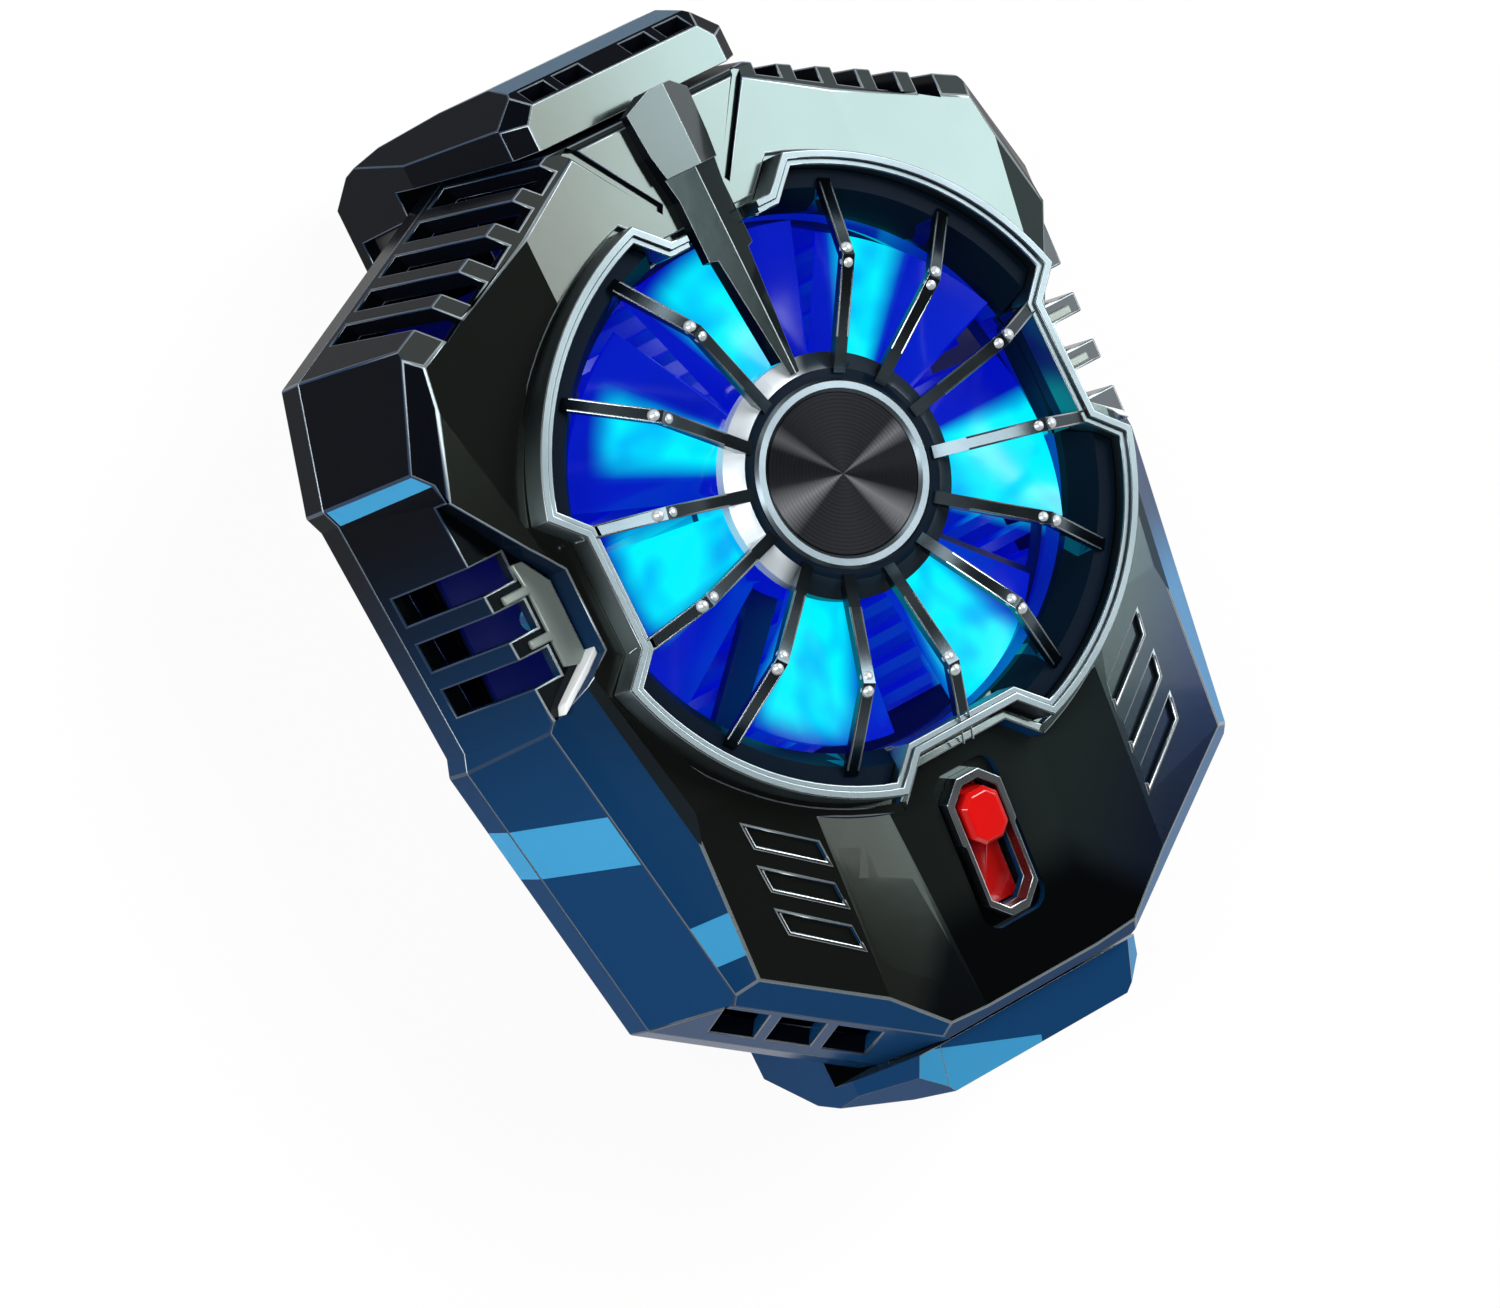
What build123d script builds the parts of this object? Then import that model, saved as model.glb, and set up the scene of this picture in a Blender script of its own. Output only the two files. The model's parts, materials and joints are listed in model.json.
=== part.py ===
from build123d import *
import os
from math import acos, atan2, cos, degrees, hypot, pi, radians, sin, sqrt, tan

# Clip-on phone cooler, in millimetres.
# The cooler lies on the tips of its two hooks with its fan facing up.
# X runs to the right seen from the front, Y towards the upper clamp, Z out of the fan.
# The origin is on the resting surface, under the middle of the whole length.
# Places in plan are measured from the fan axis, and drops are measured down from the trim.

# Heights above the resting surface
trim_top = 37.0
part_line = 16.8
back_face = 12.5

# Plan of the casing at the parting line
end_half = 10.0
top_end = 32.8
shoulder_x = 28.2
shoulder_y = 23.8
side_x = 31.0
side_y = 14.3
waist_inset = 0.6
waist_top = 12.8
waist_bottom = -6.8
waist_x = 30.0
hip_x = 29.9
hip_y = -8.2
foot_x = 25.9
foot_y = -32.1
bottom_end = -43.0
wall = 1.6
floor_wall = 1.6
back_chamfer = 0.6
fit_gap = 0.15

# How far each front wall leans in, from the bottom end round the right side to the top end
foot_lean = 6.5
hip_lean = 11.0
side_lean = 9.5
shoulder_lean = 7.3
top_lean = 6.5
bottom_lean = 4.0

# Front panel, its facets and the sunken middle of its lower half
panel_drop = 2.4
facets = [
    (14.0, 22.0, 2.4, 0, 7),
    (8.5, 30.0, 2.8, 58.5, 42.8),
    (24.95, 20.6, 3.3, 8.7, 53.3),
    (23.5, -5.0, 3.3, -8.7, 29.8),
    (22.7, -12.5, 3.0, -9.3, 49.6),
    (13.2, -21.6, 2.9, -51.7, 12.4),
    (22.3, -30.7, 5.7, -55.1, 57.2),
    (0.0, 30.3, 2.4, 90, 45),
    (0.0, -41.3, 7.4, -90, 60),
]
lower_facet = facets[5]
cheek_facet = (24.95, 20.6, 3.3, -8, 23.5)
cheek_low = 3.0
trough_edge = 13.2
trough_ends = [(-20.0, 7.35, 2.62, 3.96), (-46.0, 4.85, 7.09, 8.25)]
rim_width = 0.7
pocket_points = [(27.8, 11.2), (24.1, 5.4), (22.4, 3.0), (22.4, -3.6), (23.6, -4.6), (26.8, -6.8)]
pocket_drop = 7.0
far = 40.0

# Vents and marks of the casing
vent_count = 5
vent_pitch = 3.4
vent_width = 2.0
vent_start = (8.5, 30.0)
vent_end = (24.95, 20.6)
vent_first = 0.9
vent_reach = 9.0
vent_sill = 1.0
side_vent_rows = (5.0, 1.1, -2.8)
side_vent_width = 2.3
side_vent_inner = 24.9
side_vent_sill = 1.6
hip_vent_count = 3
hip_vent_width = 3.6
hip_vent_pitch = 4.7
hip_vent_first = 2.4
hip_vent_height = 8.0
hip_vent_sill = 2.6
hip_vent_lean = 2.2
mark_count = 3
mark_pitch = 3.5
mark_depth = 0.4
mark_shape = [(18.7, -19.9), (18.5, -21.8), (13.6, -25.6), (13.8, -23.7)]
seam_depth = 0.6
seam_shape = [(8.5, 30.9), (7.6, 30.9), (2.7, 23.9), (3.1, 23.2)]

# Opening for the fan, its silver trim and the groove round it
bore_r = 23.4
notch_apothem = 20.1
notch_inner = 5.0
notch_outer = 7.2
trim_width = 1.1
trim_height = 3.2
trim_step = 0.45
trim_step_drop = 0.35
trim_gap_half = 3.2
groove = 0.35
ledge_wall = 1.2

# Fan guard
spoke_slots = 14
spoke_zero_angle = 90
spoke_width = 0.95
spoke_depth = 0.95
knuckle_r = 16.1
knuckle_rise = 2.0
spoke_root_r = 7.6
spoke_root_drop = 0.75
spoke_end_r = 22.6
spoke_end_drop = 1.9
collar_r = 9.4
collar_drop = 1.4
collar_thick = 1.2
drum_r = 8.0
drum_drop = 0.5
guard_flange_step = 3.8
guard_flange = 1.1
guard_gap = 0.1
duct_r = 20.6
cone_drop = 1.7
cone_flare = 26
post_wall = 0.45

# Long bright blade from the top edge to the hub
blade_plan = [(1.0, 32.0), (2.8, 31.0), (2.6, 27.5), (2.0, 23.5), (2.0, 18.5), (1.4, 18.3), (0.45, 8.3)]
blade_head_end = 25.4
blade_head_rise = 1.0
blade_head_fall = 38
blade_ridge_drop = 0.2
blade_body_fall = 24
blade_base_drop = 2.4

# Hub badge
hub_ring_r = 7.23
hub_cap_r = 6.2
hub_ring_drop = 0.2
hub_cap_drop = 0.45
hub_seat_drop = 1.2
cap_groove_radii = (2.0, 3.4, 4.8)
cap_groove = 0.35
cap_groove_depth = 0.15

# Fan and its motor
blade_count = 7
blade_first = 38
blade_tip_gap = 0.8
hub_r = 8.6
hub_wall = 0.9
hub_top_gap = 0.7
hub_height = 5.6
blade_thick = 0.8
blade_root_inset = 0.55
root_chord = 7.2
tip_chord = 15.5
root_pitch = 36
tip_pitch = 16
magnet_wall = 1.0
magnet_inset = 0.5
shaft_r = 0.75
shaft_neck_r = 0.5
shaft_boss_r = 1.6
shaft_boss = 1.0
bearing_r = 1.9
bearing_length = 4.2
bearing_sink = 0.2
bearing_gap = 0.03
bearing_tube_r = 2.7
clip_r = 1.5
clip_thick = 0.3
stator_r = 6.1
stator_height = 2.6
stator_slot = 1.4
stator_poles = 4
motor_plate_r = 8.2
frame_drop = 9.6
frame_thick = 1.2
frame_ring_step = 3.0
strut_count = 4
strut_width = 2.2
ear_step = 3.2
ear_angle = 38
ear_size = 1.9

# Light parts
led_count = 6
led_first = 20
led_step = 28
led_size = 1.7
led_height = 0.7
led_board_step = 0.4
led_board_width = 2.4
led_board_thick = 0.8
guide_gap = 0.05

# Heat sink, thermoelectric module and cold plate
sink_half = 19.0
sink_base = 2.0
fin_height = 6.2
fin_thick = 0.8
fin_pitch = 2.2
fin_count = 17
sink_screw_room = 0.3
sink_socket_room = 0.08
module_half = 15.0
cold_half_x = 15.2
cold_half_y = 18.0
cold_proud = 1.2
pad_thick = 0.5
pad_margin = 1.0

# Sliding arms
travel = 8.0
arm_gap = 0.25
neck_half = 9.0
neck_gap = 0.3
cross_depth = 2.4
upper_cross_y = 15.3
lower_cross_y = -15.6
inner_leg_x = 15.5
inner_leg_end = -10.0
outer_leg_x = 24.4
outer_leg_end = 10.0
spring_ear_x = 20.5
retainer_thick = 0.7
retainer_outline = [(22.6, -24.5), (25.2, -12.0), (25.2, 11.0), (23.2, 15.0), (21.0, 24.2)]
plate_screw_y = 23.6

# Rack and pinion that make the two arms move alike
gear_module = 0.5
pinion_teeth = 10
pressure_angle = 25
tooth_rise = 0.4
tooth_sink = 0.56
backlash = 0.2
flank_steps = 5
pinion_x = 19.9
pin_r = 0.8
pin_gap = 0.05
pin_sink = 1.0
spring_x = -19.9
spring_r = 0.95
spring_gap = 0.3
post_r = 0.9

# Clamps and their soft linings
jaw_half = 12.0
upper_profile = [
    (31.4, 5.0),
    (34.8, 5.0),
    (36.35, 7.05),
    (37.3, 10.5),
    (37.5, 18.0),
    (37.3, 27.0),
    (36.4, 32.5),
    (34.4, 37.0),
    (28.4, 37.0),
    (28.4, 35.2),
    (31.2, 35.2),
    (31.2, 25.0),
    (33.5, 25.0),
]
lower_profile = [
    (-42.5, 10.1),
    (-46.6, 12.8),
    (-46.4, 18.0),
    (-45.7, 23.3),
    (-44.9, 29.6),
    (-42.0, 37.0),
    (-36.4, 37.0),
    (-36.4, 35.2),
    (-39.2, 35.2),
    (-39.2, 25.0),
    (-43.6, 25.0),
]
jaw_flare_drop = 21.5
upper_jaw_front = [(8.6, 5.0), (10.2, 6.8)]
lower_jaw_front = [(9.1, 10.1), (10.4, 11.5)]
upper_corner_cuts = [((9.9, 34.5, 6.9), (1, 1, 0.185)), ((9.9, 34.5, 6.9), (0.92, 0.75, 1))]
lower_corner_cuts = [((10.1, -44.9, 13.0), (1, -1, 0.185)), ((9.1, -42.5, 10.1), (0.97, -0.71, 1))]
grip_spots = [(-7.3, -5.08), (-4.23, -1.88), (1.88, 4.23), (5.08, 7.3)]
grip_depth = 1.2
grip_lip = 0.35
lining_wall = 1.6
lining_lip = 0.8
lining_half = 11.0
lining_top_drop = 25.4
lining_groove = 0.8
lining_groove_depth = 0.4
lining_groove_pitch = 2.4
lining_groove_count = 3

# Switch, control board and socket, on a deck that slopes with the lower panel
deck_y = -30.2
deck_slope = 9.4
deck_drop = 5.65
recess_width = 5.8
recess_length = 12.9
recess_depth = 0.7
bezel_width = 5.1
bezel_head = 6.4
bezel_waist = 4.6
bezel_length = 11.6
bezel_corner = 1.5
bezel_rise = 0.75
slot_width = 3.9
slot_length = 10.2
slot_corner = 1.2
knob_width = 3.4
knob_length = 4.3
knob_rise = 1.3
knob_offset = 2.3
knob_travel = 3.6
knob_corner = 0.9
knob_edge = 0.35
slide_top = 1.8
slide_thick = 0.9
slide_width = 3.2
slide_length = 10.2
slide_offset = 0.0
stem_width = 1.2
stem_length = 2.4
stem_depth = 2.0
can_top = 3.2
can_width = 6.4
can_length = 10.4
can_wall = 0.5
can_slot_gap = 0.3
board_drop = 7.2
board_thick = 1.0
board_points = [
    (-8.0, -7.0),
    (8.0, -7.0),
    (8.0, -3.4),
    (18.6, -3.4),
    (18.6, 3.2),
    (23.6, 3.2),
    (23.6, 10.6),
    (18.8, 10.6),
    (18.8, 6.6),
    (-18.6, 6.6),
    (-18.6, -3.4),
    (-8.0, -3.4),
]
board_screw_x = 15.0
board_screw_y = 1.8
component_boxes = [
    (-9.0, 1.6, 5.0, 5.0, 0.9),
    (0.0, 2.0, 4.4, 4.4, 2.2),
    (7.5, 1.0, 3.0, 2.0, 1.0),
    (9.8, -1.6, 2.0, 1.2, 0.8),
]
socket_y = 6.8
socket_front = 25.2
socket_width = 8.94
socket_height = 3.26
socket_depth = 6.1
socket_shell = 0.3
socket_gap = 0.2
tongue_width = 6.7
tongue_thick = 0.7
tongue_length = 5.0

# Fasteners
case_screw_spots = [(26.0, 17.6), (22.6, -29.8)]
screw_r = 1.0
screw_clearance = 0.1
screw_head_r = 1.9
screw_head = 1.2
case_screw_sink = 1.4
case_screw_length = 8.0
short_screw_length = 3.6
boss_r = 2.1
rear_boss_r = 2.7

# Heights and places that follow from the sizes above
fan_y = -(max(y for y, drop in upper_profile) + min(y for y, drop in lower_profile)) / 2
floor_top = back_face + floor_wall
cold_low = back_face - cold_proud
arm_low = floor_top + arm_gap
arm_thick = part_line - floor_top - 2 * arm_gap
guard_flange_r = duct_r + guard_flange_step
frame_ring_r = duct_r + frame_ring_step
ear_r = frame_ring_r + ear_step
led_board_inner = duct_r + led_board_step
led_board_outer = led_board_inner + led_board_width
retainer_top = part_line + retainer_thick
ledge_top = trim_top - trim_height
flange_top = ledge_top - ledge_wall
flange_low = flange_top - guard_flange
frame_top = trim_top - frame_drop
frame_low = frame_top - frame_thick
led_board_top = frame_top + led_board_thick
hub_top = trim_top - collar_drop - collar_thick - hub_top_gap
hub_low = hub_top - hub_height
blade_mid = hub_top - hub_height / 2
bearing_low = frame_top - bearing_sink
tip_r = duct_r - blade_tip_gap
pinion_r = gear_module * pinion_teeth / 2
inner_pitch_x = pinion_x - pinion_r
upper_neck = upper_profile[-1][0] + wall / 2 - upper_cross_y
lower_neck = lower_cross_y + wall / 2 - lower_profile[-1][0]
arm_slot_width = 2 * (boss_r + arm_gap)
arm_slot_length = travel + arm_slot_width + wall
outer_pitch_x = pinion_x + pinion_r
notch_edge_x = sqrt(bore_r**2 - notch_outer**2)
notch_slope = (notch_outer - notch_inner) / (notch_edge_x - notch_apothem)

os.makedirs("parts", exist_ok=True)


def level(height):
    """Plane parallel to the resting surface, centred on the fan axis."""
    return Plane(origin=(0, fan_y, height))


def deck(offset):
    """Plane parallel to the lower panel, a given distance out of it."""
    tilt = radians(deck_slope)
    top = Plane(
        origin=(0, fan_y + deck_y, trim_top - deck_drop),
        x_dir=(1, 0, 0),
        z_dir=(0, -sin(tilt), cos(tilt)),
    )
    return top.offset(offset)


def save(part, name):
    """Label a finished piece and write it under its own name."""
    part.label = name
    export_step(part, f"parts/{name}.step")


def both_sides(spots):
    """Places and their mirror images about the long axis."""
    return [(side * x, y) for x, y in spots for side in (1, -1)]


def disc(r, low, high):
    """Round plug about the fan axis between two heights."""
    with BuildPart() as plug:
        with BuildSketch(level(low)):
            Circle(r)
        extrude(amount=high - low)
    return plug.part


def washer(inner, outer, low, high):
    """Ring about the fan axis between two heights."""
    with BuildPart() as ring:
        with BuildSketch(level(low)):
            Circle(outer)
            Circle(inner, mode=Mode.SUBTRACT)
        extrude(amount=high - low)
    return ring.part


def bore_sketch(grow):
    """Round opening with a notch on each of its four sides, grown by a margin."""
    reach = bore_r * 1.2
    wide = notch_outer + (reach - notch_edge_x) * notch_slope
    with BuildSketch() as bore:
        Circle(bore_r)
        with PolarLocations(0, 4):
            Polygon(
                (notch_apothem, -notch_inner),
                (reach, -wide),
                (reach, wide),
                (notch_apothem, notch_inner),
                align=None,
                mode=Mode.SUBTRACT,
            )
        if grow:
            offset(amount=grow, kind=Kind.INTERSECTION)
    return bore.sketch


def mirrored(points):
    """Closed outline from its right half."""
    return points + [(-x, y) for x, y in reversed(points)]


def clipped_box(width, length, corner):
    """Outline of a rectangle with its corners cut off."""
    x = width / 2
    y = length / 2
    return mirrored([(x - corner, -y), (x, corner - y), (x, y - corner), (x - corner, y)])


waist_step = [
    (hip_x, hip_y),
    (waist_x - waist_inset, waist_bottom),
    (side_x - waist_inset, waist_top),
    (side_x, side_y),
]


def casing_outline(inset):
    """Plan of the casing at its parting line, mirrored about the long axis."""
    right = [(end_half, bottom_end), (foot_x, foot_y), *waist_step]
    right += [(shoulder_x, shoulder_y), (end_half, top_end)]
    with BuildSketch() as plan:
        Polygon(*mirrored(right), align=None)
        if inset:
            offset(amount=-inset, kind=Kind.INTERSECTION)
    return plan.sketch


def wall_plane(start, end, inset, lean):
    """Plane of a casing wall between two corners, leaning in above the parting line."""
    along = Vector(end[0] - start[0], end[1] - start[1], 0).normalized()
    out = Vector(along.Y, -along.X, 0)
    foot = Vector(start[0], fan_y + start[1], part_line) - out * inset
    return Plane(origin=foot, z_dir=out * cos(lean) + Vector(0, 0, sin(lean)))


def flipped(plane):
    """The same plane on the other side of the long axis."""
    o = plane.origin
    n = plane.z_dir
    return Plane(origin=(-o.X, o.Y, o.Z), z_dir=(-n.X, n.Y, n.Z))


def casing_prism(inset, height, share):
    """Solid of the casing's plan from the parting line, its walls leaning in by a share of their lean."""
    walls = [
        ((-end_half, bottom_end), (end_half, bottom_end), bottom_lean),
        ((end_half, bottom_end), (foot_x, foot_y), foot_lean),
        ((foot_x, foot_y), (hip_x, hip_y), hip_lean),
        ((hip_x, hip_y), (side_x, side_y), side_lean),
        ((side_x, side_y), (shoulder_x, shoulder_y), side_lean),
        ((shoulder_x, shoulder_y), (end_half, top_end), shoulder_lean),
        ((end_half, top_end), (-end_half, top_end), top_lean),
    ]
    with BuildPart() as prism:
        with BuildSketch(level(part_line)):
            Rectangle(4 * far, 4 * far)
        extrude(amount=height)
        for start, end, lean in walls:
            cut = wall_plane(start, end, inset, radians(lean * share))
            split(bisect_by=cut, keep=Keep.BOTTOM)
            split(bisect_by=flipped(cut), keep=Keep.BOTTOM)
        for side in (1, -1):
            with BuildSketch(level(part_line)):
                Polygon(*[(side * x, y) for x, y in waist_step], (side * 2 * side_x, 0), align=None)
                if inset:
                    offset(amount=inset, kind=Kind.INTERSECTION)
            lean_in = (-side * tan(radians(side_lean * share)), 0, 1 if height > 0 else -1)
            extrude(amount=far, dir=lean_in, mode=Mode.SUBTRACT)
    return prism.part


def pocket_sketch(side, grow):
    """Side pocket of the waist, open outwards, grown by a margin."""
    top = (side * far, pocket_points[0][1])
    bottom = (side * far, pocket_points[-1][1])
    with BuildSketch() as pocket:
        Polygon(*[(side * x, y) for x, y in pocket_points], bottom, top, align=None)
        if grow:
            offset(amount=grow, kind=Kind.INTERSECTION)
    return pocket.sketch


def facet_plane(x, y, drop, facing, fall):
    """Plane through a point of the front, facing one way and falling at an angle."""
    a = radians(facing)
    f = radians(fall)
    return Plane(
        origin=(x, fan_y + y, trim_top - drop),
        z_dir=(sin(f) * cos(a), sin(f) * sin(a), cos(f)),
    )


def trough_section(y, floor_half, edge_drop, floor_drop, drop):
    """Cross-section of the sunken middle of the lower panel."""
    edge = trim_top - edge_drop - drop
    floor = trim_top - floor_drop - drop
    with BuildSketch(Plane(origin=(0, fan_y + y, 0), x_dir=(1, 0, 0), z_dir=(0, -1, 0))) as cut:
        Polygon(
            (-trough_edge, edge),
            (-floor_half, floor),
            (floor_half, floor),
            (trough_edge, edge),
            (trough_edge, trim_top + far),
            (-trough_edge, trim_top + far),
            align=None,
        )
    return cut.sketch


def casing_block(inset, drop):
    """Solid of the front casing, shrunk by a wall for its hollow."""
    with BuildPart() as trough:
        for y, floor_half, edge_drop, floor_drop in trough_ends:
            add(trough_section(y, floor_half, edge_drop, floor_drop, drop))
        loft(ruled=True)
        with BuildSketch(level(part_line)):
            add(bore_sketch(trim_width + groove + rim_width - drop))
        extrude(amount=far, mode=Mode.SUBTRACT)
    with BuildPart() as block:
        add(casing_prism(inset, trim_top - part_line - panel_drop - drop, 1))
        for x, y, below, facing, fall in facets:
            cut = facet_plane(x, y, below + drop, facing, fall)
            split(bisect_by=cut, keep=Keep.BOTTOM)
            split(bisect_by=flipped(cut), keep=Keep.BOTTOM)
        x, y, below, facing, fall = cheek_facet
        cheek = facet_plane(x, y, below + drop, facing, fall)
        for plane in (cheek, flipped(cheek)):
            with BuildPart(mode=Mode.PRIVATE) as wedge:
                with BuildSketch(plane):
                    Circle(far)
                extrude(amount=far)
                split(bisect_by=Plane(origin=(0, fan_y + cheek_low, 0), z_dir=(0, 1, 0)), keep=Keep.TOP)
            add(wedge.part, mode=Mode.SUBTRACT)
        add(trough.part, mode=Mode.SUBTRACT)
        for side in (1, -1):
            with BuildSketch(level(trim_top - pocket_drop - drop)):
                add(pocket_sketch(side, drop))
            extrude(amount=far, mode=Mode.SUBTRACT)
    return block.part


# Slots, marks and openings of the front casing, all on its right side
with BuildPart() as side_cuts:
    # Slots from the front panel out through the upper wall
    run = Vector(vent_end[0] - vent_start[0], vent_end[1] - vent_start[1], 0).normalized()
    low = Vector(vent_start[0], fan_y + vent_start[1], part_line + vent_sill)
    with BuildSketch(Plane(origin=low, x_dir=run, z_dir=(0, 0, 1))):
        for row in range(vent_count):
            with Locations((vent_first + row * vent_pitch, 0)):
                Rectangle(vent_width, vent_reach, align=(Align.MIN, Align.MIN))
    extrude(amount=far)
    # Slots across the waist, open at their front ends
    with BuildSketch(level(part_line + side_vent_sill)):
        for y in side_vent_rows:
            with Locations((side_vent_inner, y)):
                Rectangle(far, side_vent_width, align=(Align.MIN, Align.CENTER))
    extrude(amount=far)
    # Leaning openings in the lower slanted wall
    run = Vector(foot_x - end_half, foot_y - bottom_end, 0).normalized()
    out = Vector(run.Y, -run.X, 0)
    low = Vector(end_half, fan_y + bottom_end, part_line + hip_vent_sill)
    with BuildSketch(Plane(origin=low - out * wall * 3, x_dir=run, z_dir=out)):
        for row in range(hip_vent_count):
            start = hip_vent_first + row * hip_vent_pitch
            Polygon(
                (start, 0),
                (start + hip_vent_width, 0),
                (start + hip_vent_width + hip_vent_lean, hip_vent_height),
                (start + hip_vent_lean, hip_vent_height),
                align=None,
            )
    extrude(amount=wall * 6)
    # Slanting seams beside the long blade
    with BuildSketch(level(trim_top - panel_drop - seam_depth)):
        Polygon(*seam_shape, align=None)
    extrude(amount=far)

with BuildPart() as marks:
    with BuildSketch(level(part_line)):
        for row in range(mark_count):
            Polygon(*[(x, y - row * mark_pitch) for x, y in mark_shape], align=None)
    extrude(amount=far)
    split(bisect_by=facet_plane(*lower_facet).offset(-mark_depth), keep=Keep.TOP)

socket_center = deck(-board_drop - board_thick - socket_height / 2).from_local_coords(Vector(0, socket_y, 0))
socket_turn = (0, cos(radians(deck_slope)), sin(radians(deck_slope)))


def socket_outline(grow):
    """Rounded outline of the socket, grown by a margin."""
    with BuildSketch() as outline:
        SlotOverall(socket_width + 2 * grow, socket_height + 2 * grow)
    return outline.sketch


def socket_plane(x):
    """Plane across the socket, facing the right side."""
    return Plane(origin=(x, socket_center.Y, socket_center.Z), x_dir=socket_turn, z_dir=(1, 0, 0))


fan_screw_spots = [
    (ear_r * cos(radians(a)), ear_r * sin(radians(a)))
    for a in (ear_angle, 180 - ear_angle, 180 + ear_angle, -ear_angle)
]

with BuildPart() as hollow:
    add(casing_block(wall, wall))
    # Ledge under the trim
    with BuildSketch(level(flange_top)):
        add(bore_sketch(trim_width + groove + rim_width))
    extrude(amount=far, mode=Mode.SUBTRACT)
    # Posts for the screws of the casing, the fan frame and the control board
    with BuildSketch(level(part_line)):
        with Locations(*both_sides(case_screw_spots)):
            Circle(boss_r)
    extrude(amount=far, mode=Mode.SUBTRACT)
    with BuildSketch(level(frame_top)):
        with Locations(*fan_screw_spots):
            Circle(boss_r)
    extrude(amount=far, mode=Mode.SUBTRACT)
    with BuildSketch(deck(-board_drop)):
        with Locations((board_screw_x, board_screw_y), (-board_screw_x, board_screw_y)):
            Circle(boss_r)
    extrude(amount=far, mode=Mode.SUBTRACT)

with BuildPart() as front_cover:
    add(casing_block(0, 0))
    add(hollow.part, mode=Mode.SUBTRACT)
    with BuildSketch(level(ledge_top)):
        add(bore_sketch(trim_width + groove))
    extrude(amount=far, mode=Mode.SUBTRACT)
    with BuildSketch(level(part_line)):
        add(bore_sketch(fit_gap))
    extrude(amount=far, mode=Mode.SUBTRACT)
    add(side_cuts.part, mode=Mode.SUBTRACT)
    add(side_cuts.part.mirror(Plane.YZ), mode=Mode.SUBTRACT)
    add(marks.part, mode=Mode.SUBTRACT)
    add(marks.part.mirror(Plane.YZ), mode=Mode.SUBTRACT)
    # Recess and opening for the switch
    with BuildSketch(deck(-recess_depth)):
        RectangleRounded(recess_width, recess_length, bezel_corner)
    extrude(amount=far, mode=Mode.SUBTRACT)
    with BuildSketch(deck(-recess_depth)):
        Polygon(*clipped_box(slot_width, slot_length, slot_corner), align=None)
    extrude(amount=-wall, mode=Mode.SUBTRACT)
    # Mouth of the socket in the right wall
    with BuildSketch(socket_plane(sink_half)):
        add(socket_outline(socket_gap))
    extrude(amount=far, mode=Mode.SUBTRACT)
    # Screw holes
    with BuildSketch(level(part_line)):
        with Locations(*both_sides(case_screw_spots)):
            Circle(screw_r)
    extrude(amount=case_screw_length, mode=Mode.SUBTRACT)
    with BuildSketch(level(frame_top)):
        with Locations(*fan_screw_spots):
            Circle(screw_r)
    extrude(amount=short_screw_length, mode=Mode.SUBTRACT)
    with BuildSketch(deck(-board_drop)):
        with Locations((board_screw_x, board_screw_y), (-board_screw_x, board_screw_y)):
            Circle(screw_r)
    extrude(amount=short_screw_length, mode=Mode.SUBTRACT)
save(front_cover.part, "front_cover")

with BuildPart() as rear_cover:
    add(casing_prism(0, back_face - part_line, 0))
    chamfer(rear_cover.faces().sort_by(Axis.Z)[0].outer_wire().edges(), back_chamfer)
    with BuildSketch(level(floor_top)):
        add(casing_outline(wall))
    extrude(amount=far, mode=Mode.SUBTRACT)
    with BuildSketch(level(floor_top)):
        with Locations(*both_sides(case_screw_spots)):
            Circle(rear_boss_r)
        add(casing_outline(fit_gap), mode=Mode.INTERSECT)
        with Locations((0, plate_screw_y), (0, -plate_screw_y)):
            Circle(boss_r)
    extrude(amount=part_line - floor_top)
    # Window for the cold plate
    with BuildSketch(level(back_face)):
        Rectangle(2 * (cold_half_x + fit_gap), 2 * (cold_half_y + fit_gap))
    extrude(amount=floor_wall, mode=Mode.SUBTRACT)
    # Slots in the end walls for the necks of the arms
    with BuildSketch(level(floor_top)):
        for y in (top_end, bottom_end):
            with Locations((0, y)):
                Rectangle(2 * (neck_half + neck_gap), 4 * wall)
    extrude(amount=far, mode=Mode.SUBTRACT)
    # Screw holes with sunk heads, and holes for the screws, pin and post inside
    with BuildSketch(level(back_face)):
        with Locations(*both_sides(case_screw_spots)):
            Circle(screw_head_r + screw_clearance)
    extrude(amount=case_screw_sink, mode=Mode.SUBTRACT)
    with BuildSketch(level(back_face)):
        with Locations(*both_sides(case_screw_spots)):
            Circle(screw_r + screw_clearance)
    extrude(amount=far, mode=Mode.SUBTRACT)
    with BuildSketch(level(part_line)):
        with Locations((0, plate_screw_y), (0, -plate_screw_y)):
            Circle(screw_r)
    extrude(amount=-short_screw_length, mode=Mode.SUBTRACT)
    with BuildSketch(level(floor_top)):
        with Locations((pinion_x, 0)):
            Circle(pin_r)
        with Locations((spring_x, 0)):
            Circle(post_r)
    extrude(amount=-pin_sink, mode=Mode.SUBTRACT)
save(rear_cover.part, "rear_cover")

with BuildPart() as trim_ring:
    with BuildSketch(level(ledge_top)):
        add(bore_sketch(trim_width))
        add(bore_sketch(0), mode=Mode.SUBTRACT)
        with Locations((0, bore_r)):
            Rectangle(2 * trim_gap_half, bore_r / 2, mode=Mode.SUBTRACT)
    extrude(amount=trim_height)
    with BuildSketch(level(trim_top - trim_step_drop)):
        add(bore_sketch(trim_step))
    extrude(amount=trim_step_drop, mode=Mode.SUBTRACT)
save(trim_ring.part, "trim_ring")


def spoke_plane(angle):
    """Upright plane through the fan axis, with X pointing outwards along a spoke."""
    a = radians(angle)
    return Plane(origin=(0, fan_y, trim_top), x_dir=(cos(a), sin(a), 0), z_dir=(sin(a), -cos(a), 0))


with BuildPart() as room:
    add(casing_block(wall + fit_gap, wall + fit_gap))

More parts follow.
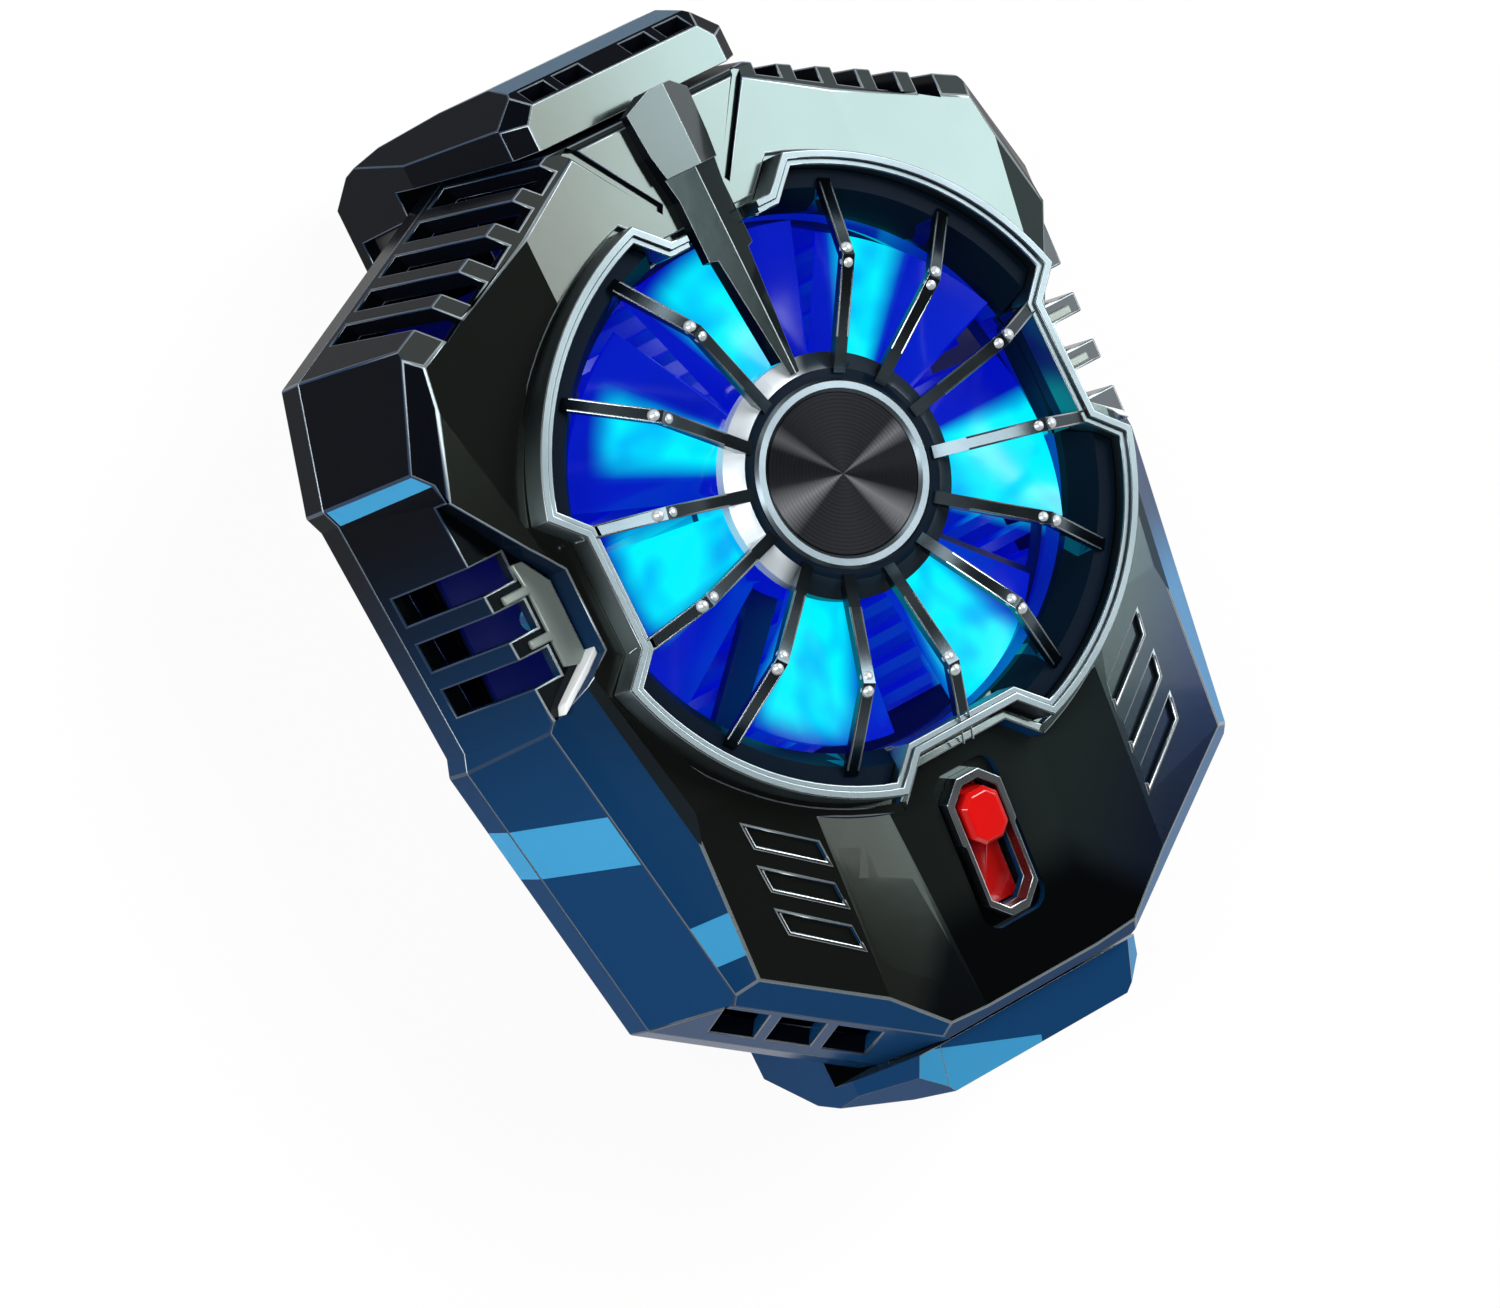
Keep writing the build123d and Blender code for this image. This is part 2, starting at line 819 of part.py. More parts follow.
post_height = trim_top - spoke_end_drop - flange_low
with BuildPart() as spokes:
    for slot in range(1, spoke_slots):
        spoke_angle = spoke_zero_angle - slot * 360 / spoke_slots
        with BuildSketch(spoke_plane(spoke_angle)):
            Polygon(
                (spoke_root_r, -spoke_root_drop - spoke_depth / 2),
                (knuckle_r, knuckle_rise - spoke_depth / 2),
                (spoke_end_r, -spoke_end_drop - spoke_depth / 2),
                (spoke_end_r, -spoke_end_drop + spoke_depth / 2),
                (knuckle_r, knuckle_rise + spoke_depth / 2),
                (spoke_root_r, -spoke_root_drop + spoke_depth / 2),
                align=None,
            )
        extrude(amount=spoke_width / 2, both=True)
        # Post under a spoke that ends at one of the two side notches
        if abs(spoke_end_r * cos(radians(spoke_angle))) > notch_edge_x - groove:
            with BuildSketch(spoke_plane(spoke_angle)):
                with Locations((duct_r - post_wall, -spoke_end_drop)):
                    Rectangle(3 * post_wall, post_height, align=(Align.MIN, Align.MAX))
            extrude(amount=spoke_width / 2, both=True)
    with BuildPart(mode=Mode.PRIVATE) as throat:
        add(disc(duct_r + 2 * post_wall, flange_low, flange_top))
        add(room.part, mode=Mode.INTERSECT)
        with BuildSketch(level(flange_top)):
            add(bore_sketch(-guard_gap))
        extrude(amount=far)
    add(throat.part, mode=Mode.INTERSECT)

with BuildPart() as fan_guard:
    # Flange under the ledge, cut back where the casing is pinched in
    add(washer(duct_r, guard_flange_r, flange_low, flange_top))
    add(room.part, mode=Mode.INTERSECT)
    # Flared rim inside the trim, where the spokes end
    with BuildSketch(level(flange_low)):
        add(bore_sketch(-guard_gap))
        Circle(duct_r, mode=Mode.SUBTRACT)
    extrude(amount=trim_top - cone_drop - flange_low)
    with BuildSketch(level(flange_top)):
        Circle(duct_r)
    extrude(amount=trim_top - cone_drop - flange_top, taper=-cone_flare, mode=Mode.SUBTRACT)
    add(spokes.part)
    # Central disc and the cone on it that carry the badge
    add(disc(collar_r, trim_top - collar_drop - collar_thick, trim_top - collar_drop))
    with BuildSketch(level(trim_top - collar_drop)):
        Circle(collar_r)
    cone_rise = collar_drop - drum_drop
    extrude(amount=cone_rise, taper=degrees(atan2(collar_r - drum_r, cone_rise)))
    add(disc(hub_ring_r, trim_top - hub_seat_drop, trim_top), mode=Mode.SUBTRACT)
save(fan_guard.part, "fan_guard")

with BuildPart() as center_blade:
    with BuildSketch(level(trim_top - blade_base_drop)):
        Polygon(*mirrored(blade_plan), align=None)
    extrude(amount=blade_base_drop + blade_head_rise)
    # Head and body each fall away from a ridge along the middle
    for side in (1, -1):
        fall = radians(blade_body_fall)
        ridge = Plane(
            origin=(0, fan_y, trim_top - blade_ridge_drop), z_dir=(side * sin(fall), 0, cos(fall))
        )
        with BuildPart(mode=Mode.PRIVATE) as waste:
            with BuildSketch(ridge):
                Circle(far)
            extrude(amount=far)
            split(bisect_by=Plane(origin=(0, fan_y + blade_head_end, 0), z_dir=(0, 1, 0)), keep=Keep.BOTTOM)
        add(waste.part, mode=Mode.SUBTRACT)
        fall = radians(blade_head_fall)
        crest = Plane(
            origin=(0, fan_y, trim_top + blade_head_rise), z_dir=(side * sin(fall), 0, cos(fall))
        )
        split(bisect_by=crest, keep=Keep.BOTTOM)
    add(disc(drum_r + guard_gap, 0, trim_top + far), mode=Mode.SUBTRACT)
    add(disc(collar_r + guard_gap, 0, trim_top - drum_drop), mode=Mode.SUBTRACT)
save(center_blade.part, "center_blade")

with BuildPart() as hub_ring:
    add(washer(hub_cap_r, hub_ring_r, trim_top - hub_seat_drop, trim_top - hub_ring_drop))
    chamfer(hub_ring.faces().sort_by(Axis.Z)[-1].edges(), (hub_ring_r - hub_cap_r) / 4)
save(hub_ring.part, "hub_ring")

with BuildPart() as hub_cap:
    add(disc(hub_cap_r, trim_top - hub_seat_drop, trim_top - hub_cap_drop))
    for r in cap_groove_radii:
        add(
            washer(r, r + cap_groove, trim_top - hub_cap_drop - cap_groove_depth, trim_top),
            mode=Mode.SUBTRACT,
        )
save(hub_cap.part, "hub_cap")


def blade_plane(angle, r):
    """Upright plane across a fan blade at a radius, facing outwards."""
    a = radians(angle)
    spot = (r * cos(a), fan_y + r * sin(a), blade_mid)
    return Plane(origin=spot, x_dir=(-sin(a), cos(a), 0), z_dir=(cos(a), sin(a), 0))


with BuildPart() as impeller:
    for blade in range(blade_count):
        angle = blade_first + blade * 360 / blade_count
        with BuildPart(mode=Mode.PRIVATE) as vane:
            with BuildSketch(blade_plane(angle, hub_r - blade_root_inset)):
                Rectangle(root_chord, blade_thick, rotation=-root_pitch)
            with BuildSketch(blade_plane(angle, duct_r)):
                Rectangle(tip_chord, blade_thick, rotation=-tip_pitch)
            loft(ruled=True)
        add(vane.part)
    add(disc(tip_r, hub_low, hub_top), mode=Mode.INTERSECT)
    add(washer(hub_r - hub_wall, hub_r, hub_low, hub_top))
    add(disc(hub_r - hub_wall / 2, hub_top - hub_wall, hub_top))
    add(disc(shaft_boss_r, hub_top - hub_wall - shaft_boss, hub_top))
    add(disc(shaft_r, hub_low, hub_top - hub_wall / 2), mode=Mode.SUBTRACT)
save(impeller.part, "impeller")

magnet_outer = hub_r - hub_wall
magnet_high = hub_top - hub_wall - magnet_inset
with BuildPart() as rotor_magnet:
    add(washer(magnet_outer - magnet_wall, magnet_outer, hub_low + magnet_inset, magnet_high))
save(rotor_magnet.part, "rotor_magnet")

clip_high = bearing_low - clip_thick / 2
clip_low = clip_high - clip_thick
with BuildPart() as rotor_shaft:
    add(disc(shaft_r, frame_low + clip_thick / 2, hub_top - hub_wall / 2))
    add(washer(shaft_neck_r, clip_r, clip_low, clip_high), mode=Mode.SUBTRACT)
save(rotor_shaft.part, "rotor_shaft")

with BuildPart() as shaft_clip:
    add(washer(shaft_neck_r, clip_r, clip_low, clip_high))
save(shaft_clip.part, "shaft_clip")

with BuildPart() as bearing_sleeve:
    add(washer(shaft_r + bearing_gap, bearing_r, bearing_low, bearing_low + bearing_length))
save(bearing_sleeve.part, "bearing_sleeve")

with BuildPart() as motor_stator:
    add(washer(bearing_tube_r, stator_r, frame_top, frame_top + stator_height))
    with BuildSketch(level(frame_top)):
        with PolarLocations((bearing_tube_r + stator_r) / 2 + stator_slot, stator_poles, start_angle=45):
            Rectangle(stator_r - bearing_tube_r, stator_slot)
    extrude(amount=stator_height, mode=Mode.SUBTRACT)
save(motor_stator.part, "motor_stator")

with BuildPart() as fan_frame:
    with BuildSketch(level(frame_low)):
        Circle(frame_ring_r)
        for x, y in fan_screw_spots:
            with Locations((x, y)):
                Circle(ear_size)
            with Locations(Location((x, y), degrees(atan2(y, x)))):
                Rectangle(ear_r - duct_r, ear_size * 2, align=(Align.MAX, Align.CENTER))
        Circle(duct_r, mode=Mode.SUBTRACT)
        Circle(motor_plate_r)
        with PolarLocations(0, strut_count, start_angle=45):
            Rectangle(duct_r + strut_width / 4, strut_width, align=(Align.MIN, Align.CENTER))
        with Locations(*fan_screw_spots):
            Circle(screw_r + screw_clearance, mode=Mode.SUBTRACT)
    extrude(amount=frame_thick)
    add(disc(bearing_tube_r, frame_low, frame_top + stator_height))
    add(disc(bearing_r, frame_low, frame_top + far), mode=Mode.SUBTRACT)
save(fan_frame.part, "fan_frame")

led_low = led_board_top
guide_low = led_low + led_height + guide_gap
led_angles = [side + led_first + led_step * i for side in (0, 180) for i in range(led_count)]

with BuildPart() as led_board:
    add(washer(led_board_inner, led_board_outer, frame_top, led_board_top))
save(led_board.part, "led_board")

led_r = (led_board_inner + led_board_outer) / 2
with BuildPart() as leds:
    with BuildSketch(level(led_low)):
        for angle in led_angles:
            spot = (led_r * cos(radians(angle)), led_r * sin(radians(angle)))
            with Locations(Location(spot, angle)):
                Rectangle(led_size, led_size)
    extrude(amount=led_height)
save(leds.part, "leds")

for name, keep in (("upper_light_guide", Keep.TOP), ("lower_light_guide", Keep.BOTTOM)):
    with BuildPart() as light_guide:
        with BuildSketch(level(guide_low)):
            Circle(led_board_outer - guide_gap)
            Circle(duct_r, mode=Mode.SUBTRACT)
            Rectangle(4 * duct_r, 2 * notch_inner, mode=Mode.SUBTRACT)
        extrude(amount=flange_low - guide_low)
        add(room.part, mode=Mode.INTERSECT)
        split(bisect_by=Plane(origin=(0, fan_y, 0), z_dir=(0, 1, 0)), keep=keep)
    save(light_guide.part, name)

with BuildPart() as heat_sink:
    with BuildSketch(level(retainer_top)):
        Rectangle(2 * sink_half, 2 * sink_half)
    extrude(amount=sink_base)
    with BuildSketch(level(retainer_top + sink_base)):
        with GridLocations(0, fin_pitch, 1, fin_count):
            Rectangle(2 * sink_half, fin_thick)
    extrude(amount=fin_height)
    # Room for the screws of the fan frame and for the back of the socket
    with BuildSketch(level(retainer_top)):
        with Locations(*fan_screw_spots):
            Circle(screw_head_r + sink_screw_room)
    extrude(amount=sink_base + fin_height, mode=Mode.SUBTRACT)
    with BuildSketch(socket_plane(socket_front - socket_depth - sink_socket_room)):
        add(socket_outline(sink_socket_room))
    extrude(amount=socket_depth, mode=Mode.SUBTRACT)
save(heat_sink.part, "heat_sink")

with BuildPart() as peltier_module:
    with BuildSketch(level(floor_top)):
        Rectangle(2 * module_half, 2 * module_half)
    extrude(amount=retainer_top - floor_top)
save(peltier_module.part, "peltier_module")

with BuildPart() as cold_plate:
    with BuildSketch(level(cold_low)):
        Rectangle(2 * cold_half_x, 2 * cold_half_y)
    extrude(amount=floor_top - cold_low)
    chamfer(cold_plate.faces().sort_by(Axis.Z)[0].edges(), pad_thick / 2)
save(cold_plate.part, "cold_plate")

with BuildPart() as thermal_pad:
    with BuildSketch(level(cold_low - pad_thick)):
        RectangleRounded(2 * (cold_half_x - pad_margin), 2 * (cold_half_y - pad_margin), pad_margin)
    extrude(amount=pad_thick)
save(thermal_pad.part, "thermal_pad")

with BuildPart() as slide_retainer_plate:
    with BuildSketch(level(part_line)):
        Polygon(*mirrored(retainer_outline), align=None)
        for side in (1, -1):
            with Locations((0, side * retainer_outline[-1][1])):
                Rectangle(2 * neck_half, 2 * boss_r)
        Rectangle(2 * (module_half + pin_gap * 6), 2 * (module_half + pin_gap * 6), mode=Mode.SUBTRACT)
        with Locations((0, plate_screw_y), (0, -plate_screw_y)):
            Circle(screw_r + screw_clearance, mode=Mode.SUBTRACT)
        with Locations((pinion_x, 0)):
            Circle(pin_r + pin_gap, mode=Mode.SUBTRACT)
        with Locations((spring_x, 0)):
            Circle(post_r + pin_gap, mode=Mode.SUBTRACT)
    extrude(amount=retainer_thick)
save(slide_retainer_plate.part, "slide_retainer_plate")

tooth_pitch = pi * gear_module
tooth_lean = tan(radians(pressure_angle))
tooth_half = tooth_pitch / 4 - backlash / 4


def rack_teeth(pitch_x, facing, low, high):
    """Straight-sided teeth along a rack whose pitch line is at pitch_x, with a gap at the pinion."""
    first = int((low - tooth_pitch / 2) / tooth_pitch)
    last = int((high - tooth_pitch / 2) / tooth_pitch)
    with BuildSketch() as teeth:
        for i in range(first, last + 1):
            y = (i + 0.5) * tooth_pitch
            root = tooth_half + tooth_sink * tooth_lean
            tip = tooth_half - tooth_rise * tooth_lean
            Polygon(
                (pitch_x - facing * tooth_sink * 1.5, y - root),
                (pitch_x - facing * tooth_sink, y - root),
                (pitch_x + facing * tooth_rise, y - tip),
                (pitch_x + facing * tooth_rise, y + tip),
                (pitch_x - facing * tooth_sink, y + root),
                (pitch_x - facing * tooth_sink * 1.5, y + root),
                align=None,
            )
    return teeth.sketch


def clamp_block(profile, front, corner_cuts):
    """Body of one clamp from its side profile, with its front corners cut away."""
    with BuildPart() as block:
        with BuildSketch(Plane(origin=(0, fan_y, trim_top), x_dir=(0, 1, 0), z_dir=(1, 0, 0))):
            Polygon(*[(y, -drop) for y, drop in profile], align=None)
        extrude(amount=jaw_half, both=True)
        with BuildSketch(Plane(origin=(0, fan_y, trim_top), x_dir=(1, 0, 0), z_dir=(0, -1, 0))):
            right = [(jaw_half, -trim_top), (jaw_half, -jaw_flare_drop)]
            right += [(x, -drop) for x, drop in reversed(front)]
            Polygon(*mirrored(right), align=None)
        extrude(amount=2 * far, both=True, mode=Mode.INTERSECT)
        for (x, y, drop), outward in corner_cuts:
            corner = Plane(origin=(x, fan_y + y, trim_top - drop), z_dir=Vector(*outward).normalized())
            split(bisect_by=corner, keep=Keep.BOTTOM)
            split(bisect_by=flipped(corner), keep=Keep.BOTTOM)
    return block.part


def lining(profile):
    """Soft lining on the inner face and the lip of one clamp."""
    outward = 1 if profile[1][0] > 0 else -1
    tip_y, lip_drop = profile[-4]
    jaw_y = profile[-3][0]
    face_y = jaw_y - outward * lining_wall
    with BuildPart() as soft:
        with BuildSketch(Plane(origin=(0, fan_y, trim_top), x_dir=(0, 1, 0), z_dir=(1, 0, 0))):
            Polygon(
                (jaw_y, -lining_top_drop),
                (face_y, -lining_top_drop),
                (face_y, -lip_drop + lining_lip),
                (tip_y, -lip_drop + lining_lip),
                (tip_y, -lip_drop),
                (jaw_y, -lip_drop),
                align=None,
            )
            for i in range(lining_groove_count):
                with Locations((face_y, -lining_top_drop - lining_groove_pitch * (i + 1))):
                    Rectangle(2 * lining_groove_depth, lining_groove, mode=Mode.SUBTRACT)
        extrude(amount=lining_half, both=True)
    return soft.part


with BuildPart() as upper_clamp_arm:
    add(clamp_block(upper_profile, upper_jaw_front, upper_corner_cuts))
    # Grip notches across the sloping front edge
    y0, drop0 = upper_profile[1]
    y1, drop1 = upper_profile[2]
    slope = Plane(
        origin=(0, fan_y + y0, trim_top - drop0),
        x_dir=(1, 0, 0),
        z_dir=Vector(0, drop1 - drop0, y1 - y0).normalized(),
    )
    grip_length = hypot(y1 - y0, drop1 - drop0) - 2 * grip_lip
    with BuildSketch(slope):
        for left, right in grip_spots:
            with Locations((left, grip_lip)):
                Rectangle(right - left, grip_length, align=(Align.MIN, Align.MIN))
    extrude(amount=-grip_depth, mode=Mode.SUBTRACT)
    # Sliding plate with its neck, cross piece and two legs
    with BuildSketch(level(arm_low)):
        with Locations((0, upper_cross_y)):
            Rectangle(2 * neck_half, upper_neck, align=(Align.CENTER, Align.MIN))
            Rectangle(2 * (inner_pitch_x - tooth_sink), cross_depth, align=(Align.CENTER, Align.MIN))
            Rectangle(spring_ear_x, cross_depth, align=(Align.MAX, Align.MIN))
        for side in (1, -1):
            with Locations((side * (inner_leg_x + inner_pitch_x - tooth_sink) / 2, inner_leg_end)):
                Rectangle(
                    inner_pitch_x - tooth_sink - inner_leg_x,
                    upper_cross_y - inner_leg_end + cross_depth,
                    align=(Align.CENTER, Align.MIN),
                )
        add(rack_teeth(inner_pitch_x, 1, inner_leg_end + 1, -inner_leg_end))
        with Locations((0, plate_screw_y + boss_r + arm_gap)):
            Rectangle(arm_slot_width, arm_slot_length, align=(Align.CENTER, Align.MAX), mode=Mode.SUBTRACT)
    extrude(amount=arm_thick)
save(upper_clamp_arm.part, "upper_clamp_arm")

with BuildPart() as lower_clamp_arm:
    add(clamp_block(lower_profile, lower_jaw_front, lower_corner_cuts))
    with BuildSketch(level(arm_low)):
        with Locations((0, lower_cross_y)):
            Rectangle(2 * neck_half, lower_neck, align=(Align.CENTER, Align.MAX))
            Rectangle(2 * outer_leg_x, cross_depth, align=(Align.CENTER, Align.MAX))
        for side in (1, -1):
            with Locations((side * outer_leg_x, lower_cross_y - cross_depth)):
                Rectangle(
                    outer_leg_x - outer_pitch_x - tooth_sink,
                    outer_leg_end - lower_cross_y + cross_depth,
                    align=(Align.MAX if side > 0 else Align.MIN, Align.MIN),
                )
        add(rack_teeth(outer_pitch_x, -1, -outer_leg_end, outer_leg_end - 1))
        with Locations((0, -plate_screw_y - boss_r - arm_gap)):
            Rectangle(arm_slot_width, arm_slot_length, align=(Align.CENTER, Align.MIN), mode=Mode.SUBTRACT)
    extrude(amount=arm_thick)
save(lower_clamp_arm.part, "lower_clamp_arm")

with BuildPart() as upper_jaw_pad:
    add(lining(upper_profile))
save(upper_jaw_pad.part, "upper_jaw_pad")

with BuildPart() as lower_jaw_pad:
    add(lining(lower_profile))
save(lower_jaw_pad.part, "lower_jaw_pad")


def involute(r, base):
    """Angle turned by an involute between its base circle and a radius."""
    if r <= base:
        return 0
    a = acos(base / r)
    return tan(a) - a


base_r = pinion_r * cos(radians(pressure_angle))
tip_gear_r = pinion_r + tooth_rise
root_gear_r = pinion_r - tooth_sink
with BuildPart() as pinion:
    with BuildSketch(Plane(origin=(pinion_x, fan_y, arm_low))):
        Circle(root_gear_r)
        half_angle = tooth_half / pinion_r + involute(pinion_r, base_r)
        flank = [
            base_r + (tip_gear_r - base_r) * i / flank_steps for i in range(flank_steps + 1)
        ]
        sides = [(r, half_angle - involute(r, base_r)) for r in [root_gear_r * 0.9] + flank]
        for tooth in range(pinion_teeth):
            turn = 2 * pi * tooth / pinion_teeth
            right = [(r * cos(turn - a), r * sin(turn - a)) for r, a in sides]
            left = [(r * cos(turn + a), r * sin(turn + a)) for r, a in reversed(sides)]
            Polygon(*right, *left, align=None)
        Circle(pin_r + pin_gap, mode=Mode.SUBTRACT)
    extrude(amount=arm_thick)
save(pinion.part, "pinion")

with BuildPart() as pinion_pin:
    with BuildSketch(Plane(origin=(pinion_x, fan_y, floor_top - pin_sink))):
        Circle(pin_r)
    extrude(amount=retainer_top - floor_top + pin_sink)
save(pinion_pin.part, "pinion_pin")

with BuildPart() as spring_post:
    with BuildSketch(Plane(origin=(spring_x, fan_y, floor_top - pin_sink))):
        Circle(post_r)
    extrude(amount=retainer_top - floor_top + pin_sink)
save(spring_post.part, "spring_post")

spring_ends = {
    "upper_spring": (post_r + spring_gap, upper_cross_y - spring_gap),
    "lower_spring": (lower_cross_y + spring_gap, -post_r - spring_gap),
}
for name, (low, high) in spring_ends.items():
    with BuildPart() as spring:
        with BuildSketch(
            Plane(origin=(spring_x, fan_y + low, arm_low + arm_thick / 2), x_dir=(1, 0, 0), z_dir=(0, 1, 0))
        ):
            Circle(spring_r)
        extrude(amount=high - low)
    save(spring.part, name)

with BuildPart() as control_board:
    with BuildSketch(deck(-board_drop - board_thick)):
        Polygon(*board_points, align=None)
        with Locations((board_screw_x, board_screw_y), (-board_screw_x, board_screw_y)):
            Circle(screw_r + screw_clearance, mode=Mode.SUBTRACT)
    extrude(amount=board_thick)
save(control_board.part, "control_board")

with BuildPart() as board_components:
    for x, y, width, length, height in component_boxes:
        with BuildSketch(deck(-board_drop - board_thick)):
            with Locations((x, y)):
                Rectangle(width, length)
        extrude(amount=-height)
save(board_components.part, "board_components")

with BuildPart() as switch_body:
    with BuildSketch(deck(-board_drop)):
        Rectangle(can_width, can_length)
    extrude(amount=board_drop - can_top)
    with BuildSketch(deck(-board_drop + can_wall)):
        Rectangle(can_width - 2 * can_wall, can_length - 2 * can_wall)
    extrude(amount=board_drop - can_top - 2 * can_wall, mode=Mode.SUBTRACT)
    with BuildSketch(deck(-can_top - can_wall)):
        with Locations((0, knob_offset - knob_travel / 2)):
            Rectangle(stem_width + 2 * can_slot_gap, stem_length + knob_travel + 2 * can_slot_gap)
    extrude(amount=2 * can_wall, mode=Mode.SUBTRACT)
save(switch_body.part, "switch_body")

with BuildPart() as switch_knob:
    with BuildSketch(deck(-slide_top)):
        with Locations((0, knob_offset)):
            Polygon(*clipped_box(knob_width, knob_length, knob_corner), align=None)
    extrude(amount=slide_top + knob_rise)
    chamfer(switch_knob.faces().sort_by(Axis.Z)[-1].edges(), knob_edge)
    with BuildSketch(deck(-slide_top)):
        with Locations((0, slide_offset)):
            Rectangle(slide_width, slide_length)
    extrude(amount=-slide_thick)
    with BuildSketch(deck(-slide_top - slide_thick)):
        with Locations((0, knob_offset)):
            Rectangle(stem_width, stem_length)
    extrude(amount=-stem_depth)
save(switch_knob.part, "switch_knob")

with BuildPart() as switch_bezel:
    with BuildSketch(deck(-recess_depth)):
        # Wide head over a narrower tail
        with Locations((0, (bezel_length - bezel_head) / 2)):
            Polygon(*clipped_box(bezel_width, bezel_head, bezel_corner), align=None)
        Polygon(*clipped_box(bezel_waist, bezel_length, bezel_corner), align=None)
        Polygon(*clipped_box(slot_width, slot_length, slot_corner), align=None, mode=Mode.SUBTRACT)
    extrude(amount=recess_depth + bezel_rise)
save(switch_bezel.part, "switch_bezel")

with BuildPart() as usb_shell:
    with BuildSketch(socket_plane(socket_front)):
        add(socket_outline(0))
    extrude(amount=-socket_depth)
    with BuildSketch(socket_plane(socket_front)):
        add(socket_outline(-socket_shell))
    extrude(amount=socket_shell - socket_depth, mode=Mode.SUBTRACT)
save(usb_shell.part, "usb_shell")

with BuildPart() as usb_tongue:
    with BuildSketch(socket_plane(socket_front - socket_depth + socket_shell)):
        Rectangle(tongue_width, tongue_thick)
    extrude(amount=tongue_length)
save(usb_tongue.part, "usb_tongue")


def screw_set(plane, spots, length):
    """Pan-head screws whose heads sit on a plane and whose shanks run against its direction."""
    with BuildPart() as screws:
        with BuildSketch(plane):
            with Locations(*spots):
                Circle(screw_head_r)
        extrude(amount=screw_head)
        with BuildSketch(plane.offset(screw_head)):
            with Locations(*spots):
                Rectangle(screw_head_r * 1.2, screw_r * 0.5)
                Rectangle(screw_r * 0.5, screw_head_r * 1.2)
        extrude(amount=-screw_head / 2, mode=Mode.SUBTRACT)
        with BuildSketch(plane):
            with Locations(*spots):
                Circle(screw_r)
        extrude(amount=-length)
    return screws.part


def facing_down(plane):
    """The same plane turned to face the other way about its X direction."""
    return Plane(origin=plane.origin, x_dir=plane.x_dir, z_dir=-plane.z_dir)


def upside_down(spots):
    """Places as a downward-facing plane sees them."""
    return [(x, -y) for x, y in spots]


with BuildPart() as case_screws:
    add(
        screw_set(
            facing_down(level(back_face + case_screw_sink)),
            upside_down(both_sides(case_screw_spots)),
            case_screw_length,
        )
    )
save(case_screws.part, "case_screws")

with BuildPart() as fan_screws:
    add(screw_set(facing_down(level(frame_low)), upside_down(fan_screw_spots), short_screw_length))
save(fan_screws.part, "fan_screws")

with BuildPart() as retainer_screws:
    add(screw_set(level(retainer_top), [(0, plate_screw_y), (0, -plate_screw_y)], short_screw_length))
save(retainer_screws.part, "retainer_screws")

with BuildPart() as board_screws:
    add(
        screw_set(
            facing_down(deck(-board_drop - board_thick)),
            upside_down([(board_screw_x, board_screw_y), (-board_screw_x, board_screw_y)]),
            short_screw_length,
        )
    )
save(board_screws.part, "board_screws")
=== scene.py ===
import bmesh
import bpy
import json
import math
import numpy as np
from mathutils import Matrix, Vector

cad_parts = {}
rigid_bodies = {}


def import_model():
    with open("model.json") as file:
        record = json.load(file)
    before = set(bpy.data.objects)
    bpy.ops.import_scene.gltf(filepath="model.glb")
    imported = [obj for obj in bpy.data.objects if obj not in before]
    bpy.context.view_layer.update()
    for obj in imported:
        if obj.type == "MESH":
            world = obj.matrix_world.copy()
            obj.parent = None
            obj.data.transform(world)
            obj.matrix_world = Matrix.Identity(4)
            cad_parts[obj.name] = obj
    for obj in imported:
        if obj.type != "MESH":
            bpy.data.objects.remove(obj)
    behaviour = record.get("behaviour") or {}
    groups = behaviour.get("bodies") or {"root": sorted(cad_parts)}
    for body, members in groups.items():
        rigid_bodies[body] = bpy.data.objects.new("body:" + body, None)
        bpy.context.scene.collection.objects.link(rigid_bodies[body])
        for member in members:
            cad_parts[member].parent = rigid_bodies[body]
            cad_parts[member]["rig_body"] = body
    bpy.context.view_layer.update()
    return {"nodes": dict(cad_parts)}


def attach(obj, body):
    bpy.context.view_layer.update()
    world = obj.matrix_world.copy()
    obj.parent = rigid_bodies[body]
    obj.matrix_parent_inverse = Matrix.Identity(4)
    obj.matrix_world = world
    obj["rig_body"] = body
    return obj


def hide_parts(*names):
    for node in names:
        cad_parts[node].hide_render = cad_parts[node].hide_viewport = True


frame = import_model()
print("frame loaded:", len(frame["nodes"]), "nodes")

# the fan's axis and the trim's top, in millimetres
fanY = 4.55
trimTop = 37.0
# fourteen places round the hub: the blade takes the first, at the top, and spokes the others
places = 14
spokeTurns = np.pi / 2 - 2 * np.pi / places * np.arange(1, places)

# the photograph's camera: its place from the trim's centre, and its three axes
camera = {
    "place": (-219.926, 28.459, 455.983),
    "right": (0.80486, -0.43850, 0.39991),
    "up": (0.42794, 0.89570, 0.12084),
    "back": (-0.41117, 0.07388, 0.90855),
    "focus": 6796.67, "frameWidth": 1500,  # in pixels of the photograph
    "sensor": 36,
}


def makeCamera():
    data = bpy.data.cameras.new("camera")
    seat = bpy.data.objects.new("camera", data)
    bpy.context.scene.collection.objects.link(seat)
    x, y, z = camera["place"]
    place = Vector((x, y + fanY, z + trimTop)) / 1000
    turn = Matrix([camera["right"], camera["up"], camera["back"]]).transposed().to_4x4()
    seat.matrix_world = Matrix.Translation(place) @ turn
    data.sensor_fit = "HORIZONTAL"
    data.sensor_width = camera["sensor"]
    data.lens = camera["focus"] * camera["sensor"] / camera["frameWidth"]
    data.clip_start = 0.01
    data.clip_end = 20
    bpy.context.scene.camera = seat


makeCamera()
print("camera placed")


# an sRGB hex colour as the linear values that a shader takes
def toLinear(code):
    parts = np.array([int(code[i:i + 2], 16) for i in (1, 3, 5)]) / 255
    linear = np.where(parts <= 0.04045, parts / 12.92, ((parts + 0.055) / 1.055) ** 2.4)
    return (*linear.tolist(), 1.0)


